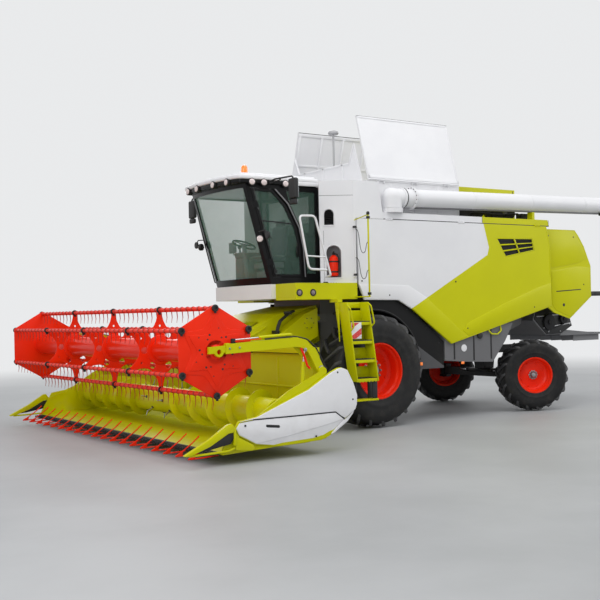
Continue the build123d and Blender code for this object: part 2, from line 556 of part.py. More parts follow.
def cab():
    """Cab shell, glass, door, roof, lip and what is inside."""
    door_rear = [(-1520, WINDOW_TOP_Z), (-1270, 3560), (-1075, 3200), (-1000, 2860), (-975, CAB_SILL_Z)]
    front_edge = [(pillar_x(z) + PILLAR_W, z) for z in (CAB_SILL_Z, WINDOW_TOP_Z)]
    door = front_edge + door_rear
    rear_x = CAB_REAR_X - PILLAR_W
    rear_window = [(x + 75, z) for x, z in door_rear[1:-1]]
    rear_window += [(-900, CAB_SILL_Z + 60), (rear_x, CAB_SILL_Z + 60), (rear_x, WINDOW_TOP_Z - 20),
                    (-1270, WINDOW_TOP_Z - 20)]
    right_window = front_edge + [(rear_x, WINDOW_TOP_Z), (rear_x, CAB_SILL_Z)]
    back_window = (-650, 650, 3150, 3750)
    screen_y = CAB_Y - PILLAR_W
    front_zone = box(-3000, -1450, -screen_y, screen_y, CAB_SILL_Z, WINDOW_TOP_Z)
    shell = cab_solid(0) - cab_solid(CAB_WALL)
    shell -= front_zone & (cab_solid(0) - cab_solid(CAB_WALL + 2, CAB_WALL + 500)) & front_zone
    for outline, y0, y1 in ((door, -CAB_Y - 60, -CAB_Y + 100), (rear_window, -CAB_Y - 60, -CAB_Y + 100),
                            (right_window, CAB_Y - 100, CAB_Y + 60)):
        shell -= side(outline, y0, y1)
    shell -= box(CAB_REAR_X - 100, CAB_REAR_X + 60, *back_window)
    y0 = -CAB_Y + GLASS_IN
    frame = inset_side(door, DOOR_GAP, -CAB_Y, -CAB_Y + DOOR_T)
    frame -= inset_side(door, DOOR_RIM, -CAB_Y - 1, -CAB_Y + DOOR_T + 1)
    for rise in CAB_HINGES:
        place = Plane(origin=(CAB_HINGE_X - CAB_LEAN_RATE * rise, -CAB_Y - CAB_HINGE_OUT, CAB_SILL_Z + rise),
                      x_dir=(1, 0, CAB_LEAN_RATE), z_dir=(-CAB_LEAN_RATE, 0, 1))
        ears, knuckle = hinge(place, CAB_PIN_R, CAB_KNUCKLE_R)
        for z0, z1 in ear_spans(0):
            ears += place * box(-4, CAB_KNUCKLE_R, 0, CAB_HINGE_OUT + 1, z0, z1)
        half = KNUCKLE_LENGTH / 2 - EAR_NOTCH
        strap = box(CAB_PIN_R + 2, 118, -8, 9, -half, half) + box(84, 118, 5, CAB_HINGE_OUT + 2, -half, half)
        shell += ears
        frame += knuckle + place * strap
    save("cab_shell", shell)
    save("cab_door", frame)
    save("cab_door_glass", inset_side(door, DOOR_RIM, y0, y0 + GLASS_T))
    screen = (cab_solid(GLASS_IN) - cab_solid(GLASS_IN + GLASS_T)) & front_zone
    save("cab_glass", screen, inset_side(rear_window, 0, y0, y0 + GLASS_T),
         inset_side(right_window, 0, -y0 - GLASS_T, -y0),
         box(CAB_REAR_X - GLASS_IN - GLASS_T, CAB_REAR_X - GLASS_IN, *back_window))
    side_y = CAB_Y + LIP_OUT
    lip = arc_slab(CAB_FRONT_X - LIP_OUT, CAB_BULGE, side_y, LIP_SPLIT_X, LIP_BOTTOM_Z,
                   (0, 0, CAB_BASE_Z - LIP_BOTTOM_Z))
    base = lip + box(LIP_SPLIT_X, CAB_REAR_X, -side_y, side_y, LIP_BOTTOM_Z, CAB_BASE_Z)
    mount = box(CAB_REAR_X - 1, BODY_FRONT_X, 300, 500, 2095, 2290)
    save("cab_base", base + mount + other(mount))
    cap = arc_slab(ROOF_FRONT_X + 90, 90, ROOF_Y, ROOF_REAR_X, CAB_TOP_Z, (0, 0, FASCIA_Z - CAB_TOP_Z))
    cap += arc_slab(ROOF_FRONT_X + 160, 90, ROOF_Y - 30, ROOF_REAR_X, FASCIA_Z, (0, 0, ROOF_STEP_Z - FASCIA_Z))
    cap += arc_slab(ROOF_FRONT_X + 420, 120, ROOF_Y - 150, CAB_REAR_X - 100, ROOF_STEP_Z,
                    (0, 0, ROOF_TOP_Z - ROOF_STEP_Z))
    save("cab_roof", cap)
    floor_z = CAB_BASE_Z + CAB_WALL
    seat = box(-1330, -860, -240, 240, 2700, 2820) + box(-940, -830, -240, 240, 2819, 3420)
    seat += box(-1200, -950, -180, 180, floor_z, 2701)
    wheel_plane = Plane(origin=(-1545, 0, 2985), z_dir=(0.35, 0, 1))
    column = rod((-1480, 0, floor_z), (-1545, 0, 2985), 45) - box(-3000, 0, -500, 500, 0, floor_z)
    column += wheel_plane * Torus(190, 16) + wheel_plane * Cylinder(50, 30) + wheel_plane * Box(380, 26, 14)
    save("cab_interior", seat, column, box(-1400, -900, 320, 560, floor_z, 2880))


def platform_and_ladder():
    """Walkway beside the cab, its rails and the swinging ladder."""
    skirt = SIDE_Y - 25
    cab_side = CAB_Y + LIP_OUT
    deck = plan([(PLATFORM_X0, -SIDE_Y), (PLATFORM_X0, -cab_side), (CAB_REAR_X, -cab_side),
                 (CAB_REAR_X, -TOWER_IN_Y), (PLATFORM_X1, -TOWER_IN_Y), (PLATFORM_X1, -SIDE_Y)],
                PLATFORM_BOTTOM_Z, CAB_BASE_Z)
    deck -= box(PLATFORM_X0 + 25, PLATFORM_X1 - 25, -skirt, -TOWER_IN_Y - 25,
                PLATFORM_BOTTOM_Z - 1, CAB_BASE_Z - 35)
    right = plan([(TOWER_CORNER_X, TOWER_IN_Y), (TOWER_CORNER_X, SIDE_Y), (PLATFORM_X1, SIDE_Y),
                  (PLATFORM_X1, TOWER_IN_Y)], PLATFORM_BOTTOM_Z, CAB_BASE_Z)
    rail_r = 17.0
    upright = bent([(RAIL_X, -SIDE_Y + 40, 3190), (RAIL_X, RAIL_Y_OUT, 3190), (RAIL_X, RAIL_Y_OUT, 2400),
                    (RAIL_X, -SIDE_Y + 40, 2400)], [25, 25], RAIL_R)
    diagonal = plan([(TOWER_CORNER_X, -TOWER_CORNER_Y), (TOWER_OUT_X, -SIDE_Y), (0, -SIDE_Y), (0, -TOWER_CORNER_Y)],
                    CAB_BASE_Z, BODY_TOP_Z)
    upright = max((upright - diagonal).solids(), key=lambda s: s.volume)
    rail_y = -SIDE_Y - 110
    loop = bent([(-930, -SIDE_Y + 30, CAB_BASE_Z), (-930, -SIDE_Y + 30, 2400), (-930, rail_y, 2420),
                 (-1180, rail_y, 3240), (-1320, rail_y, 3310), (-1465, rail_y, 3210), (-1340, rail_y, 2580),
                 (-1230, rail_y, 2520), (-1000, rail_y, 2505)], [30, 50, 40, 90, 90, 40, 60], rail_r)
    pole = rod((POLE_X, POLE_Y_OUT, PLATFORM_BOTTOM_Z + 20), (POLE_X, POLE_Y_OUT, 3370), POLE_R)
    pole += box(POLE_X - POLE_R, POLE_X + POLE_R, POLE_Y_OUT - 10, -SIDE_Y,
                PLATFORM_BOTTOM_Z + 20, PLATFORM_BOTTOM_Z + 40)
    stay = rod((POLE_X, POLE_Y_OUT, 3355), (POLE_X, -SIDE_Y, 3300), 8)
    pole += stay & box(-3000, 0, -2500, -SIDE_Y, 0, 5000)
    save("handrails", loop, upright, pole)
    cord("cord_upper", CORD_UPPER)
    cord("cord_lower", CORD_LOWER)

    def slanted(x_top, z_top, z_low, y0, y1, thick):
        x_low = x_top + (z_top - z_low) * LADDER_LEAN
        return side([(x_top, z_top), (x_top + thick, z_top), (x_low + thick, z_low), (x_low, z_low)], y0, y1)
    ladder = Part()
    for x_top in (LADDER_X, LADDER_X + LADDER_W):
        ladder += slanted(x_top, LADDER_TOP_Z, LADDER_BOTTOM_Z, -LADDER_OUT_Y, -LADDER_IN_Y, LADDER_T)
    for z in STEP_Z:
        x = LADDER_X + (LADDER_TOP_Z - z) * LADDER_LEAN
        ladder += box(x + 5, x + LADDER_W + 10, -LADDER_OUT_Y + 10, -LADDER_IN_Y - 10, z - STEP_T, z)
    head_z = LADDER_TOP_Z - LADDER_HEAD
    ladder += box(LADDER_X, LADDER_X + LADDER_W + LADDER_T, -LADDER_IN_Y - LADDER_T, -LADDER_IN_Y, head_z, LADDER_TOP_Z)
    ladder += box(LADDER_X, LADDER_X + 110, -LADDER_IN_Y - 1, -LADDER_PIVOT_Y - 25, head_z, LADDER_TOP_Z)
    ladder += rod((LADDER_PIVOT_X, -LADDER_PIVOT_Y, head_z), (LADDER_PIVOT_X, -LADDER_PIVOT_Y, LADDER_TOP_Z), 45)
    pin_start = (LADDER_PIVOT_X, -LADDER_PIVOT_Y, head_z - 1)
    ladder -= rod(pin_start, (LADDER_PIVOT_X, -LADDER_PIVOT_Y, LADDER_TOP_Z + 1), LADDER_PIN_R + PIN_FIT)
    foot_x = LADDER_X + (LADDER_TOP_Z - LADDER_BOTTOM_Z) * LADDER_LEAN
    ladder += box(foot_x, foot_x + LADDER_W + LADDER_T, -LADDER_OUT_Y + 20, -LADDER_IN_Y - 20,
                  FOOT_STEP_Z - 30, FOOT_STEP_Z)
    for x in (foot_x, foot_x + LADDER_W):
        ladder += box(x + 1, x + LADDER_T - 1, -LADDER_OUT_Y + 40, -LADDER_IN_Y - 40,
                      FOOT_STEP_Z - 1, LADDER_BOTTOM_Z + 20)
    save("ladder", ladder)
    bracket = box(LADDER_PIVOT_X - 45, LADDER_PIVOT_X + 45, -LADDER_PIVOT_Y - 45, -SIDE_Y + 60,
                  LADDER_TOP_Z + GAP, PLATFORM_BOTTOM_Z)
    bracket += rod(pin_start, (LADDER_PIVOT_X, -LADDER_PIVOT_Y, LADDER_TOP_Z + 30), LADDER_PIN_R)
    save("platform", deck + bracket, right)


def side_doors():
    """Large lifting side panels: a white and a green sheet on one hinge line, with a grille."""
    y0, y1 = -SIDE_Y, -SIDE_Y + PANEL_T
    door = side([(-330, DOOR_TOP_Z), (3970, DOOR_TOP_Z), (4070, 2980), (4070, 1880), (1620, 1280), (790, 1870),
                 (490, 2030), (-200, 2040), (-310, 2300)], y0, y1)
    door -= side([(2710, 3090), (3620, 3100), (3660, 2890), (2930, 2760)], y0 - 1, y1 - 8)
    for x in DOOR_HINGES_X:
        start, end = (x - 80, y0, DOOR_TOP_Z), (x + 80, y0, DOOR_TOP_Z)
        door -= rod(start, end, DOOR_PIN_R + PIN_FIT)
        for x0, x1 in ear_spans(x):
            door -= rod((x0 - EAR_NOTCH, y0, DOOR_TOP_Z), (x1 + EAR_NOTCH, y0, DOOR_TOP_Z),
                        DOOR_KNUCKLE_R + EAR_NOTCH)
        door += side_door_hinge(x)[1]
    save("side_door_left", door)
    save("side_door_right", other(door))


def lower_sides():
    """Belly tanks and the mudguards around the front tyres."""
    out, inner = -1405.0, -BODY_Y
    tank = side([(1500, 1000), (1960, 960), (WHEELBASE - 1140, 930), (WHEELBASE - 830, 1290),
                 (WHEELBASE - 630, 1600), (1500, 1600)], out, inner)
    r0 = FRONT_TYRE_R + GUARD_GAP
    r1 = r0 + GUARD_T
    band = drum(0, FRONT_TYRE_R, r1, -1395, inner) - drum(0, FRONT_TYRE_R, r0, -1396, inner + 1)
    keep = side([(0, FRONT_TYRE_R), (2400, 500), (2400, 2600), (-300, 2600), (-300, 1700)], -1396, inner + 1)
    plate = side([(-200, 2025), (480, 2015), (790, 1850), (1480, 1330), (1480, 880), (500, 880), (-200, 1600)],
                 -1395, -1375) - drum(0, FRONT_TYRE_R, r0, -1396, -1370)
    save("lower_side_covers", pair(tank), pair((band & keep) + plate))


def rear_end():
    """Rear hood with its tail door, chopper, spreader and lamps."""
    outline = [(HOOD_X0 - 1, 1900), (HOOD_X0 - 1, HOOD_TOP_Z), (4900, HOOD_TOP_Z), (5000, 3200), (5150, 3000),
               (5330, 2630), (5330, 2050), (4720, 1640), (4300, 1760)]
    cheek = side(outline, -HOOD_Y, -HOOD_Y + HOOD_T)
    hood = cheek + other(cheek) + box(HOOD_X0 - 1, 4886, -HOOD_Y, HOOD_Y, HOOD_TOP_Z - 30, HOOD_TOP_Z)
    hood += box(BODY_REAR_X, HOOD_X0, -HOOD_Y, HOOD_Y, 1900, HOOD_TOP_Z)
    hood += drum(4700, 1800, 35, -HOOD_Y + HOOD_T - 1, HOOD_Y - HOOD_T + 1)
    inner = HOOD_Y - HOOD_T - GAP
    tail = side([(4906, 3262), (4906, 3297), (4960, 3270), (5000, 3225), (5150, 3020), (5345, 2640), (5345, 2200),
                 (5315, 2200), (5315, 2630), (5125, 2995), (4975, 3200), (4940, 3245)], -inner, inner)
    for y in TAIL_HINGES_Y:
        place = Plane(origin=(TAIL_HINGE_X, y, TAIL_HINGE_Z), z_dir=(0, 1, 0))
        ears, knuckle = hinge(place, LID_PIN_R, LID_KNUCKLE_R)
        tail -= drum(TAIL_HINGE_X, TAIL_HINGE_Z, LID_PIN_R + PIN_FIT, y - 80, y + 80)
        for y0, y1 in ear_spans(y):
            ears += box(4880, TAIL_HINGE_X, y0, y1, TAIL_HINGE_Z - 3, HOOD_TOP_Z)
            tail -= box(4880, TAIL_HINGE_X + 5, y0 - EAR_NOTCH, y1 + EAR_NOTCH, TAIL_HINGE_Z - 40, HOOD_TOP_Z + 40)
            tail -= drum(TAIL_HINGE_X, TAIL_HINGE_Z, LID_KNUCKLE_R + EAR_NOTCH,
                         y0 - EAR_NOTCH, y1 + EAR_NOTCH)
        hood += ears
        tail += knuckle
    save("rear_hood", hood)
    save("tail_door", tail)
    chopper = side([(4150, 1620), (4250, 1890), (5080, 1890), (5230, 1500), (4900, 1340), (4500, 1340)],
                   -900, 900) - drum(4700, 1800, 35, -1000, 1000)
    spreader = side([(5080, 1420), (5900, 1345), (X_REAR, 1345), (X_REAR, 1315), (4900, 1315), (4900, 1339)],
                    -900, 900)
    for i in range(7):
        y = -840 + i * 280
        spreader += box(5320, 6060, y - 6, y + 6, 1200, 1320)
    save("straw_chopper", chopper + spreader)


def engine_deck():
    """Engine block under its hood, air cleaner and the lamps on the rear mast."""
    save("engine", box(2650, 3550, -250, 450, DECK_Z, ENGINE_HOOD_Z - 70))
    hood = box(2310, 3950, -700, 1300, DECK_Z, ENGINE_HOOD_Z)
    hood -= box(2335, 3925, -675, 1275, DECK_Z - 1, ENGINE_HOOD_Z - 25)
    save("engine_hood", hood)
    mast = rod((4700, 300, HOOD_TOP_Z), (4700, 300, 3760), 22) + box(4680, 4720, 100, 500, 3760, 3800)
    beacon = rod((-1920, -700, ROOF_STEP_Z), (-1920, -700, 4170), 52)
    save("lamps", mast, beacon, pair(box(5330, 5700, -HOOD_Y, -HOOD_Y + 120, 2060, 2150)))


def unloading():
    """Tank outlet, swinging tube with its spout, and the rest under the tube."""
    base = rod((ELBOW_X, -ELBOW_Y, DECK_Z), (ELBOW_X, -ELBOW_Y, COLLAR_Z), COLLAR_R + 15)
    base &= box(0, 1000, -ELBOW_Y - 400, -TANK_Y - 1, DECK_Z, COLLAR_Z)
    base += rod((ELBOW_X, -ELBOW_Y, DECK_Z + 1), (ELBOW_X, -ELBOW_Y, COLLAR_Z + SPIGOT_LENGTH), SPIGOT_R)
    start, end = (ELBOW_X, -ELBOW_Y, TUBE_Z), (TUBE_REAR_X, -ELBOW_Y, TUBE_REAR_Z)
    tube = rod(start, end, TUBE_R) + Pos(*start) * Sphere(COLLAR_R)
    tube += rod((ELBOW_X, -ELBOW_Y, COLLAR_Z + GAP), start, COLLAR_R)
    tube += rod((860, -ELBOW_Y, 3706), (885, -ELBOW_Y, 3706), 185)
    tube -= rod((ELBOW_X, -ELBOW_Y, COLLAR_Z), (ELBOW_X, -ELBOW_Y, COLLAR_Z + SPIGOT_LENGTH + GAP),
                SPIGOT_R + PIN_FIT)
    save("unloading_tube", tube)
    spout = side([(5830, 3330), (6060, 3380), (6090, 3800), (5990, 3920), (5800, 3640)],
                 -ELBOW_Y - 155, -ELBOW_Y + 155)
    spout -= side([(5838, 3300), (6048, 3300), (6076, 3790), (5985, 3904), (5812, 3640)],
                  -ELBOW_Y - 141, -ELBOW_Y + 141)
    spout -= tube
    save("unloading_spout", max(spout.solids(), key=lambda s: s.volume))
    save("tube_supports", base, box(3660, 3720, -ELBOW_Y - 60, -ELBOW_Y + 60, DECK_Z, 3585))


def feeder():
    """Feeder house with its side guard and the lift cylinders below it."""
    house = side([(TABLE_BACK_X, 1250), (-1870, 1600), (-1340, 1850), (FEEDER_PIVOT_X - 5, 1975),
                  (FEEDER_PIVOT_X + 50, 1400), (-1500, 960), (TABLE_BACK_X, 420)], -FEEDER_Y, FEEDER_Y)
    throat = side([(TABLE_BACK_X - 1, 500), (TABLE_BACK_X - 1, 1080), (-1700, 1350), (-1700, 930)],
                  -FEEDER_Y + 60, FEEDER_Y - 60)
    lug = side([(LIFT_PIN[0] - 45, LIFT_PIN[1] - 40), (LIFT_PIN[0] + 45, LIFT_PIN[1] - 40),
                (LIFT_PIN[0] + 90, 1080), (LIFT_PIN[0] - 90, 980)], LIFT_Y - 62, LIFT_Y - 40)
    lugs = lug + Pos(0, 102, 0) * lug + drum(*LIFT_PIN, LIFT_PIN_R, LIFT_Y - 62, LIFT_Y + 62)
    lugs += drum(FEEDER_PIVOT_X, FEEDER_PIVOT_Z, TRUNNION_R, FEEDER_Y - 1, FEEDER_Y + 40)
    save("feeder_house", house - throat + lugs + other(lugs))
    guard = side([(-760, 1930), (-1000, 1840), (-1350, 1600), (-1650, 1300), (-1560, 1150), (-980, 1370),
                  (-760, 1480)], -FEEDER_Y - 230, -FEEDER_Y)
    save("feeder_guard", guard)
    base, pin = Vector(LIFT_BASE[0], LIFT_Y, LIFT_BASE[1]), Vector(LIFT_PIN[0], LIFT_Y, LIFT_PIN[1])
    along = (pin - base).normalized()
    barrel = rod(tuple(base + along * 75), tuple(base + along * 950), 50) + rod(
        tuple(base + along * 20), tuple(base + along * 80), 32)
    barrel += drum(*LIFT_BASE, 44, LIFT_Y - 35, LIFT_Y + 35)
    barrel -= drum(*LIFT_BASE, LIFT_BASE_R + PIN_FIT, LIFT_Y - 40, LIFT_Y + 40)
    barrel -= rod(tuple(base + along * 120), tuple(base + along * 960), 30 + PIN_FIT)
    save("lift_barrels", pair(barrel))
    plunger = rod(tuple(base + along * 320), tuple(pin - along * 30), 30)
    plunger += drum(*LIFT_PIN, 48, LIFT_Y - 35, LIFT_Y + 35)
    plunger -= drum(*LIFT_PIN, LIFT_PIN_R + EYE_SLACK, LIFT_Y - 40, LIFT_Y + 40)
    save("lift_rods", pair(plunger))


def header():
    """Table, end walls, shields, dividers, knife and lifters."""
    back = TABLE_BACK_X
    table = side([(back, 200), (back, TABLE_TOP_Z), (back - 30, TABLE_TOP_Z), (back - 30, 480), (-2640, 205),
                  (-3100, 190), (KNIFE_X + 40, KNIFE_Z + 12), (KNIFE_X + 40, KNIFE_Z - 8), (-3100, 160),
                  (-2640, 170)], -TABLE_Y, TABLE_Y)
    table -= box(back - 500, back + 1, -FEEDER_Y + 60, FEEDER_Y - 60, 500, 1080)
    arm_bay = box(back - 500, back + 1, -TABLE_Y, -ARM_Y0 + 12, 860, TABLE_TOP_Z + 100)
    table -= arm_bay + other(arm_bay)
    table += box(back - 90, back, -ARM_Y0 + 12, ARM_Y0 - 12, TABLE_TOP_Z - 1, TABLE_TOP_Z + 80)
    wall = side([(back, 200), (back, 1110), (-2880, 850), (-3380, 540), (-3710, 440), (KNIFE_X + 40, 200),
                 (KNIFE_X + 40, KNIFE_Z - 8), (-3100, 160), (-2640, 170)], -TABLE_Y - END_T, -TABLE_Y)
    pins = drum(REEL_PIVOT_X, REEL_PIVOT_Z - 40, 60, -TABLE_Y - END_T, -TABLE_Y) + drum(
        REEL_PIVOT_X, REEL_PIVOT_Z, 25, -TABLE_Y - END_T, -ARM_Y0 + 6)
    pins += drum(*REEL_BASE, REEL_BASE_R, -TABLE_Y - 1, -3190)
    wall += pins
    save("header_table", table + wall + other(wall))
    shield = side([(-3710, 470), (-3380, 540), (-2880, 850), (-2400, 1030), (-2040, 1120), (-1890, 1010),
                   (-1810, 730), (-1810, 510), (-1980, 300), (-2190, 220), (-3050, 210), (-3460, 220)],
                  -HEADER_Y, -TABLE_Y - END_T)
    base_x = KNIFE_X + 40
    divider = Pos(DIVIDER_BASE_X, -HEADER_Y, 160) * Rot(0, 0, 90) * Wedge(
        HEADER_Y - TABLE_Y + 40, DIVIDER_BASE_X - X_FRONT, 350, 30, 0, 60, 14, align=(Align.MIN,) * 3)
    divider -= box(base_x, -3600, -TABLE_Y - END_T, -TABLE_Y + 60, 100, 600)
    save("header_ends", pair(shield + max(divider.solids(), key=lambda s: s.volume)))
    knife = box(KNIFE_X - 20, base_x, -TABLE_Y + 5, TABLE_Y - 5, KNIFE_Z - 6, KNIFE_Z + 8)
    reach = TABLE_Y - 170
    for i in range(LIFTERS):
        y = -reach + i * 2 * reach / (LIFTERS - 1)
        finger = side([(KNIFE_X - 20, KNIFE_Z - 6), (KNIFE_X - 20, KNIFE_Z + 8), (-4230, 90), (-4240, 74)],
                      y - 8, y + 8)
        finger += side([(-3860, 330), (-3860, 314), (-4236, 78), (-4240, 94)], y - 6, y + 6)
        knife += finger
    save("cutter_bar", knife)


def intake():
    """Cross auger with its flights."""
    drum_y = TABLE_Y - 25
    shape = drum(INTAKE_X, INTAKE_Z, INTAKE_R, -drum_y, drum_y) + drum(
        INTAKE_X, INTAKE_Z, 40, -TABLE_Y + 0.5, TABLE_Y - 0.5)
    for k in range(FLIGHT_TURNS):
        y = -drum_y + 160 + k * FLIGHT_PITCH
        disc = drum(INTAKE_X, INTAKE_Z, FLIGHT_R, y, y + FLIGHT_T)
        shape += disc + other(disc)
    save("intake_auger", shape)


def reel():
    """Reel: end plates, spiders, tube, bats and hanging tines."""
    corners = [(math.sin(math.radians(60 * i)), math.cos(math.radians(60 * i))) for i in range(6)]
    bats = [(REEL_X + REEL_R * s, REEL_Z + REEL_R * c) for s, c in corners]
    hexagon = [(REEL_X + (REEL_R + REEL_RIM) * s, REEL_Z + (REEL_R + REEL_RIM) * c) for s, c in corners]
    shape = drum(REEL_X, REEL_Z, REEL_TUBE_R, -REEL_Y, REEL_Y)
    shape += drum(REEL_X, REEL_Z, REEL_SHAFT_R, -ARM_Y1 + ARM_WALL, ARM_Y1 - ARM_WALL)
    for y in (-REEL_Y, REEL_Y - PLATE_T):
        shape += side(hexagon, y, y + PLATE_T)
    for x, z in bats:
        shape += drum(x, z, BAT_R, -REEL_Y, REEL_Y)
    for y in (-1590.0, 0.0, 1590.0):
        for s, c in corners[:3]:
            spoke = []
            for reach, flank in ((1, 1), (1, -1), (-1, -1), (-1, 1)):
                reach, flank = reach * REEL_R, flank * SPOKE_HALF
                spoke.append((REEL_X + reach * s + flank * c, REEL_Z + reach * c - flank * s))
            shape += side(spoke, y - 6, y + 6)
    for x, z in bats:
        for k in range(TINES):
            y = -REEL_Y + 110 + k * (2 * REEL_Y - 220) / (TINES - 1)
            shape += box(x - 5, x + 5, y - 5, y + 5, z - TINE_LENGTH, z - BAT_R + 8)
    save("reel", shape)


def reel_arms():
    """Bent arms on the header's ends, sliders that carry the reel and the reel's lift cylinders."""
    outer = [(ARM_FRONT_X, ARM_FRONT_Z - ARM_HALF), (ARM_FRONT_X, ARM_FRONT_Z + ARM_HALF), (ARM_BEND_X, 1540),
             (-2560, 1500), (-2420, 1380), (-2290, 1140), (-2310, 1070), (-2370, 1060), (-2400, 1110),
             (-2520, 1330), (-2620, 1400), (-2720, 1415)]
    arm = side(outer, -ARM_Y1, -ARM_Y0)

    def bar(x0, x1, half, y0, y1):
        z0, z1 = (ARM_FRONT_Z + (x - ARM_FRONT_X) * ARM_SLOPE for x in (x0, x1))
        return side([(x0, z0 - half), (x0, z0 + half), (x1, z1 + half), (x1, z1 - half)], y0, y1)
    arm -= bar(ARM_FRONT_X - 10, -2950, SLIDER_HALF + 1, -ARM_Y1 + ARM_WALL, -ARM_Y0 - ARM_WALL)
    arm -= drum(REEL_PIVOT_X, REEL_PIVOT_Z, 25 + PIN_FIT, -ARM_Y1 - 1, -ARM_Y0 + 1)
    slot = side([(REEL_PIN[0] - 60, REEL_PIN[1] - 80), (REEL_PIN[0] - 60, REEL_PIN[1] + 42),
                 (REEL_PIN[0] + 60, REEL_PIN[1] + 42), (REEL_PIN[0] + 60, REEL_PIN[1] - 80)], -3258, -3222)
    arm = arm - slot + drum(*REEL_PIN, REEL_PIN_R, -ARM_Y1, -ARM_Y0)
    save("reel_arms", pair(arm))
    y0, y1 = -ARM_Y1 + ARM_WALL + 0.5, -ARM_Y0 - ARM_WALL - 0.5
    slider = bar(-3985, -3300, SLIDER_HALF, y0, y1) + drum(REEL_X, REEL_Z, 62, y0, y1)
    slider -= drum(REEL_X, REEL_Z, REEL_SHAFT_R + PIN_FIT, y0 - 1, y1 + 1)
    save("reel_sliders", pair(slider))
    cyl_y = -3240.0
    base, top = Vector(REEL_BASE[0], cyl_y, REEL_BASE[1]), Vector(REEL_PIN[0], cyl_y, REEL_PIN[1])
    along = (top - base).normalized()
    barrel = rod(tuple(base + along * 20), tuple(base + along * 370), 26)
    barrel += drum(*REEL_BASE, 28, cyl_y - 15, cyl_y + 15)
    barrel -= drum(*REEL_BASE, REEL_BASE_R + PIN_FIT, cyl_y - 20, cyl_y + 20)
    barrel -= rod(tuple(base + along * 60), tuple(base + along * 380), 15 + PIN_FIT)
    save("reel_lift_barrels", pair(barrel))
    plunger = rod(tuple(base + along * 110), tuple(top - along * 20), 15)
    plunger += drum(*REEL_PIN, 30, cyl_y - 13, cyl_y + 13)
    plunger -= drum(*REEL_PIN, REEL_PIN_R + EYE_SLACK, cyl_y - 20, cyl_y + 20)
    save("reel_lift_rods", pair(plunger))


def mirrors():
    """Cab mirrors on their arms, beacon and satellite dome."""
    arm_z = FASCIA_Z - 40
    arm = bent([(-1650, -ROOF_Y, arm_z), (-1650, -1640, arm_z), (-1620, -1640, 3780)], [40], 14)
    head = box(-1650, -1590, -1720, -1580, 3470, 3850)
    save("mirrors", pair(arm + head))
    mast = rod((100, -270, TOWER_TOP_Z), (100, -270, 4880), 17) + rod((100, -270, 4870), (100, -270, 4940), 90)
    save("satellite_mast", mast)


def build():
    """Writes every node into the parts folder."""
    os.makedirs("parts", exist_ok=True)
    wheels()
    axles()
    body_and_tank()
    tower()
    cab()
    platform_and_ladder()
    side_doors()
    lower_sides()
    rear_end()
    engine_deck()
    unloading()
    feeder()
    header()
    intake()
    reel()
    reel_arms()
    mirrors()


if __name__ == "__main__":
    build()
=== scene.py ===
"""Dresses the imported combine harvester: studio, cords, detailed pieces and the finish of every part."""
import json
import logging
import math
from dataclasses import dataclass, field
from enum import Enum
from typing import Callable, Iterable, Sequence

import bmesh
import bpy
from mathutils import Matrix, Vector

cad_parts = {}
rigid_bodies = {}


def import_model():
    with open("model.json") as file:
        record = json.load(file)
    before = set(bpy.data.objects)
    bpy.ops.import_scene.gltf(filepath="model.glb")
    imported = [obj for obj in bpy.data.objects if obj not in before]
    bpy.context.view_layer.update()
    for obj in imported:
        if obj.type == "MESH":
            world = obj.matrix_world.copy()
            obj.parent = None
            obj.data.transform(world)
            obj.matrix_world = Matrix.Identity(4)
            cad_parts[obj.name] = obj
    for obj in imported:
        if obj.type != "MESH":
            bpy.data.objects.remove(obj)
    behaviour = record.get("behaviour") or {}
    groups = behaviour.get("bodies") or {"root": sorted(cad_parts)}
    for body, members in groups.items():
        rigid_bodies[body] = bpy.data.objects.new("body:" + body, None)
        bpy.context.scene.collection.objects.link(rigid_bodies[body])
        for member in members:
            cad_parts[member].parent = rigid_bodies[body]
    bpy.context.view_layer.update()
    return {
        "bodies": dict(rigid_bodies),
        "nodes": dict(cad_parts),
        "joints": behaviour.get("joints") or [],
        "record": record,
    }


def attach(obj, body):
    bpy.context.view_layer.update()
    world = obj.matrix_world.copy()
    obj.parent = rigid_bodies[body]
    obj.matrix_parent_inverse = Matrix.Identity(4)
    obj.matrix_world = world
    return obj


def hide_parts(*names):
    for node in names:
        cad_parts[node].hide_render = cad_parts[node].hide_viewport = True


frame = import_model()

log = logging.getLogger("harvester")

Point = tuple[float, float, float]
Flat = tuple[float, float]
Outline = tuple[Flat, ...]
Box = tuple[Point, Point]
Rgb = tuple[float, float, float]

ORIGIN = (0.0, 0.0, 0.0)
ACROSS = (0.0, 1.0, 0.0)
UP = (0.0, 0.0, 1.0)
CREASE = math.radians(38.0)


class Side(Enum):
    """A side of the machine, with the sign of its y."""

    LEFT = -1
    RIGHT = 1

    @property
    def word(self) -> str:
        """The side in the names of bodies and pieces."""
        return self.name.lower()


# The drawings use millimetres from the front axle; the frame uses metres from the machine's middle.
AXLE_X = -0.870
TO_FRAME = Matrix.Translation((AXLE_X, 0.0, 0.0)) @ Matrix.Scale(0.001, 4)


def framed(point: Point) -> Vector:
    """Gives a point of the drawings in the frame's metres."""
    return TO_FRAME @ Vector(point)


def facing(axis: Point | Vector) -> Matrix:
    """Gives the turn that lays the z axis along a direction."""
    return Vector(axis).to_track_quat("Z", "Y").to_matrix().to_4x4()


def on_circle(radius: float, turn: float) -> Flat:
    """Gives a point on a circle at an angle in radians."""
    return radius * math.cos(turn), radius * math.sin(turn)


def linear(red: int, green: int, blue: int) -> Rgb:
    """Turns a display colour of 0 to 255 into scene-linear values.

    Args:
        red: Red, 0 to 255.
        green: Green, 0 to 255.
        blue: Blue, 0 to 255.

    Returns:
        The linear colour.
    """
    def channel(value: int) -> float:
        """Undoes the display curve of one channel."""
        share = value / 255.0
        return share / 12.92 if share <= 0.04045 else ((share + 0.055) / 1.055) ** 2.4
    return channel(red), channel(green), channel(blue)


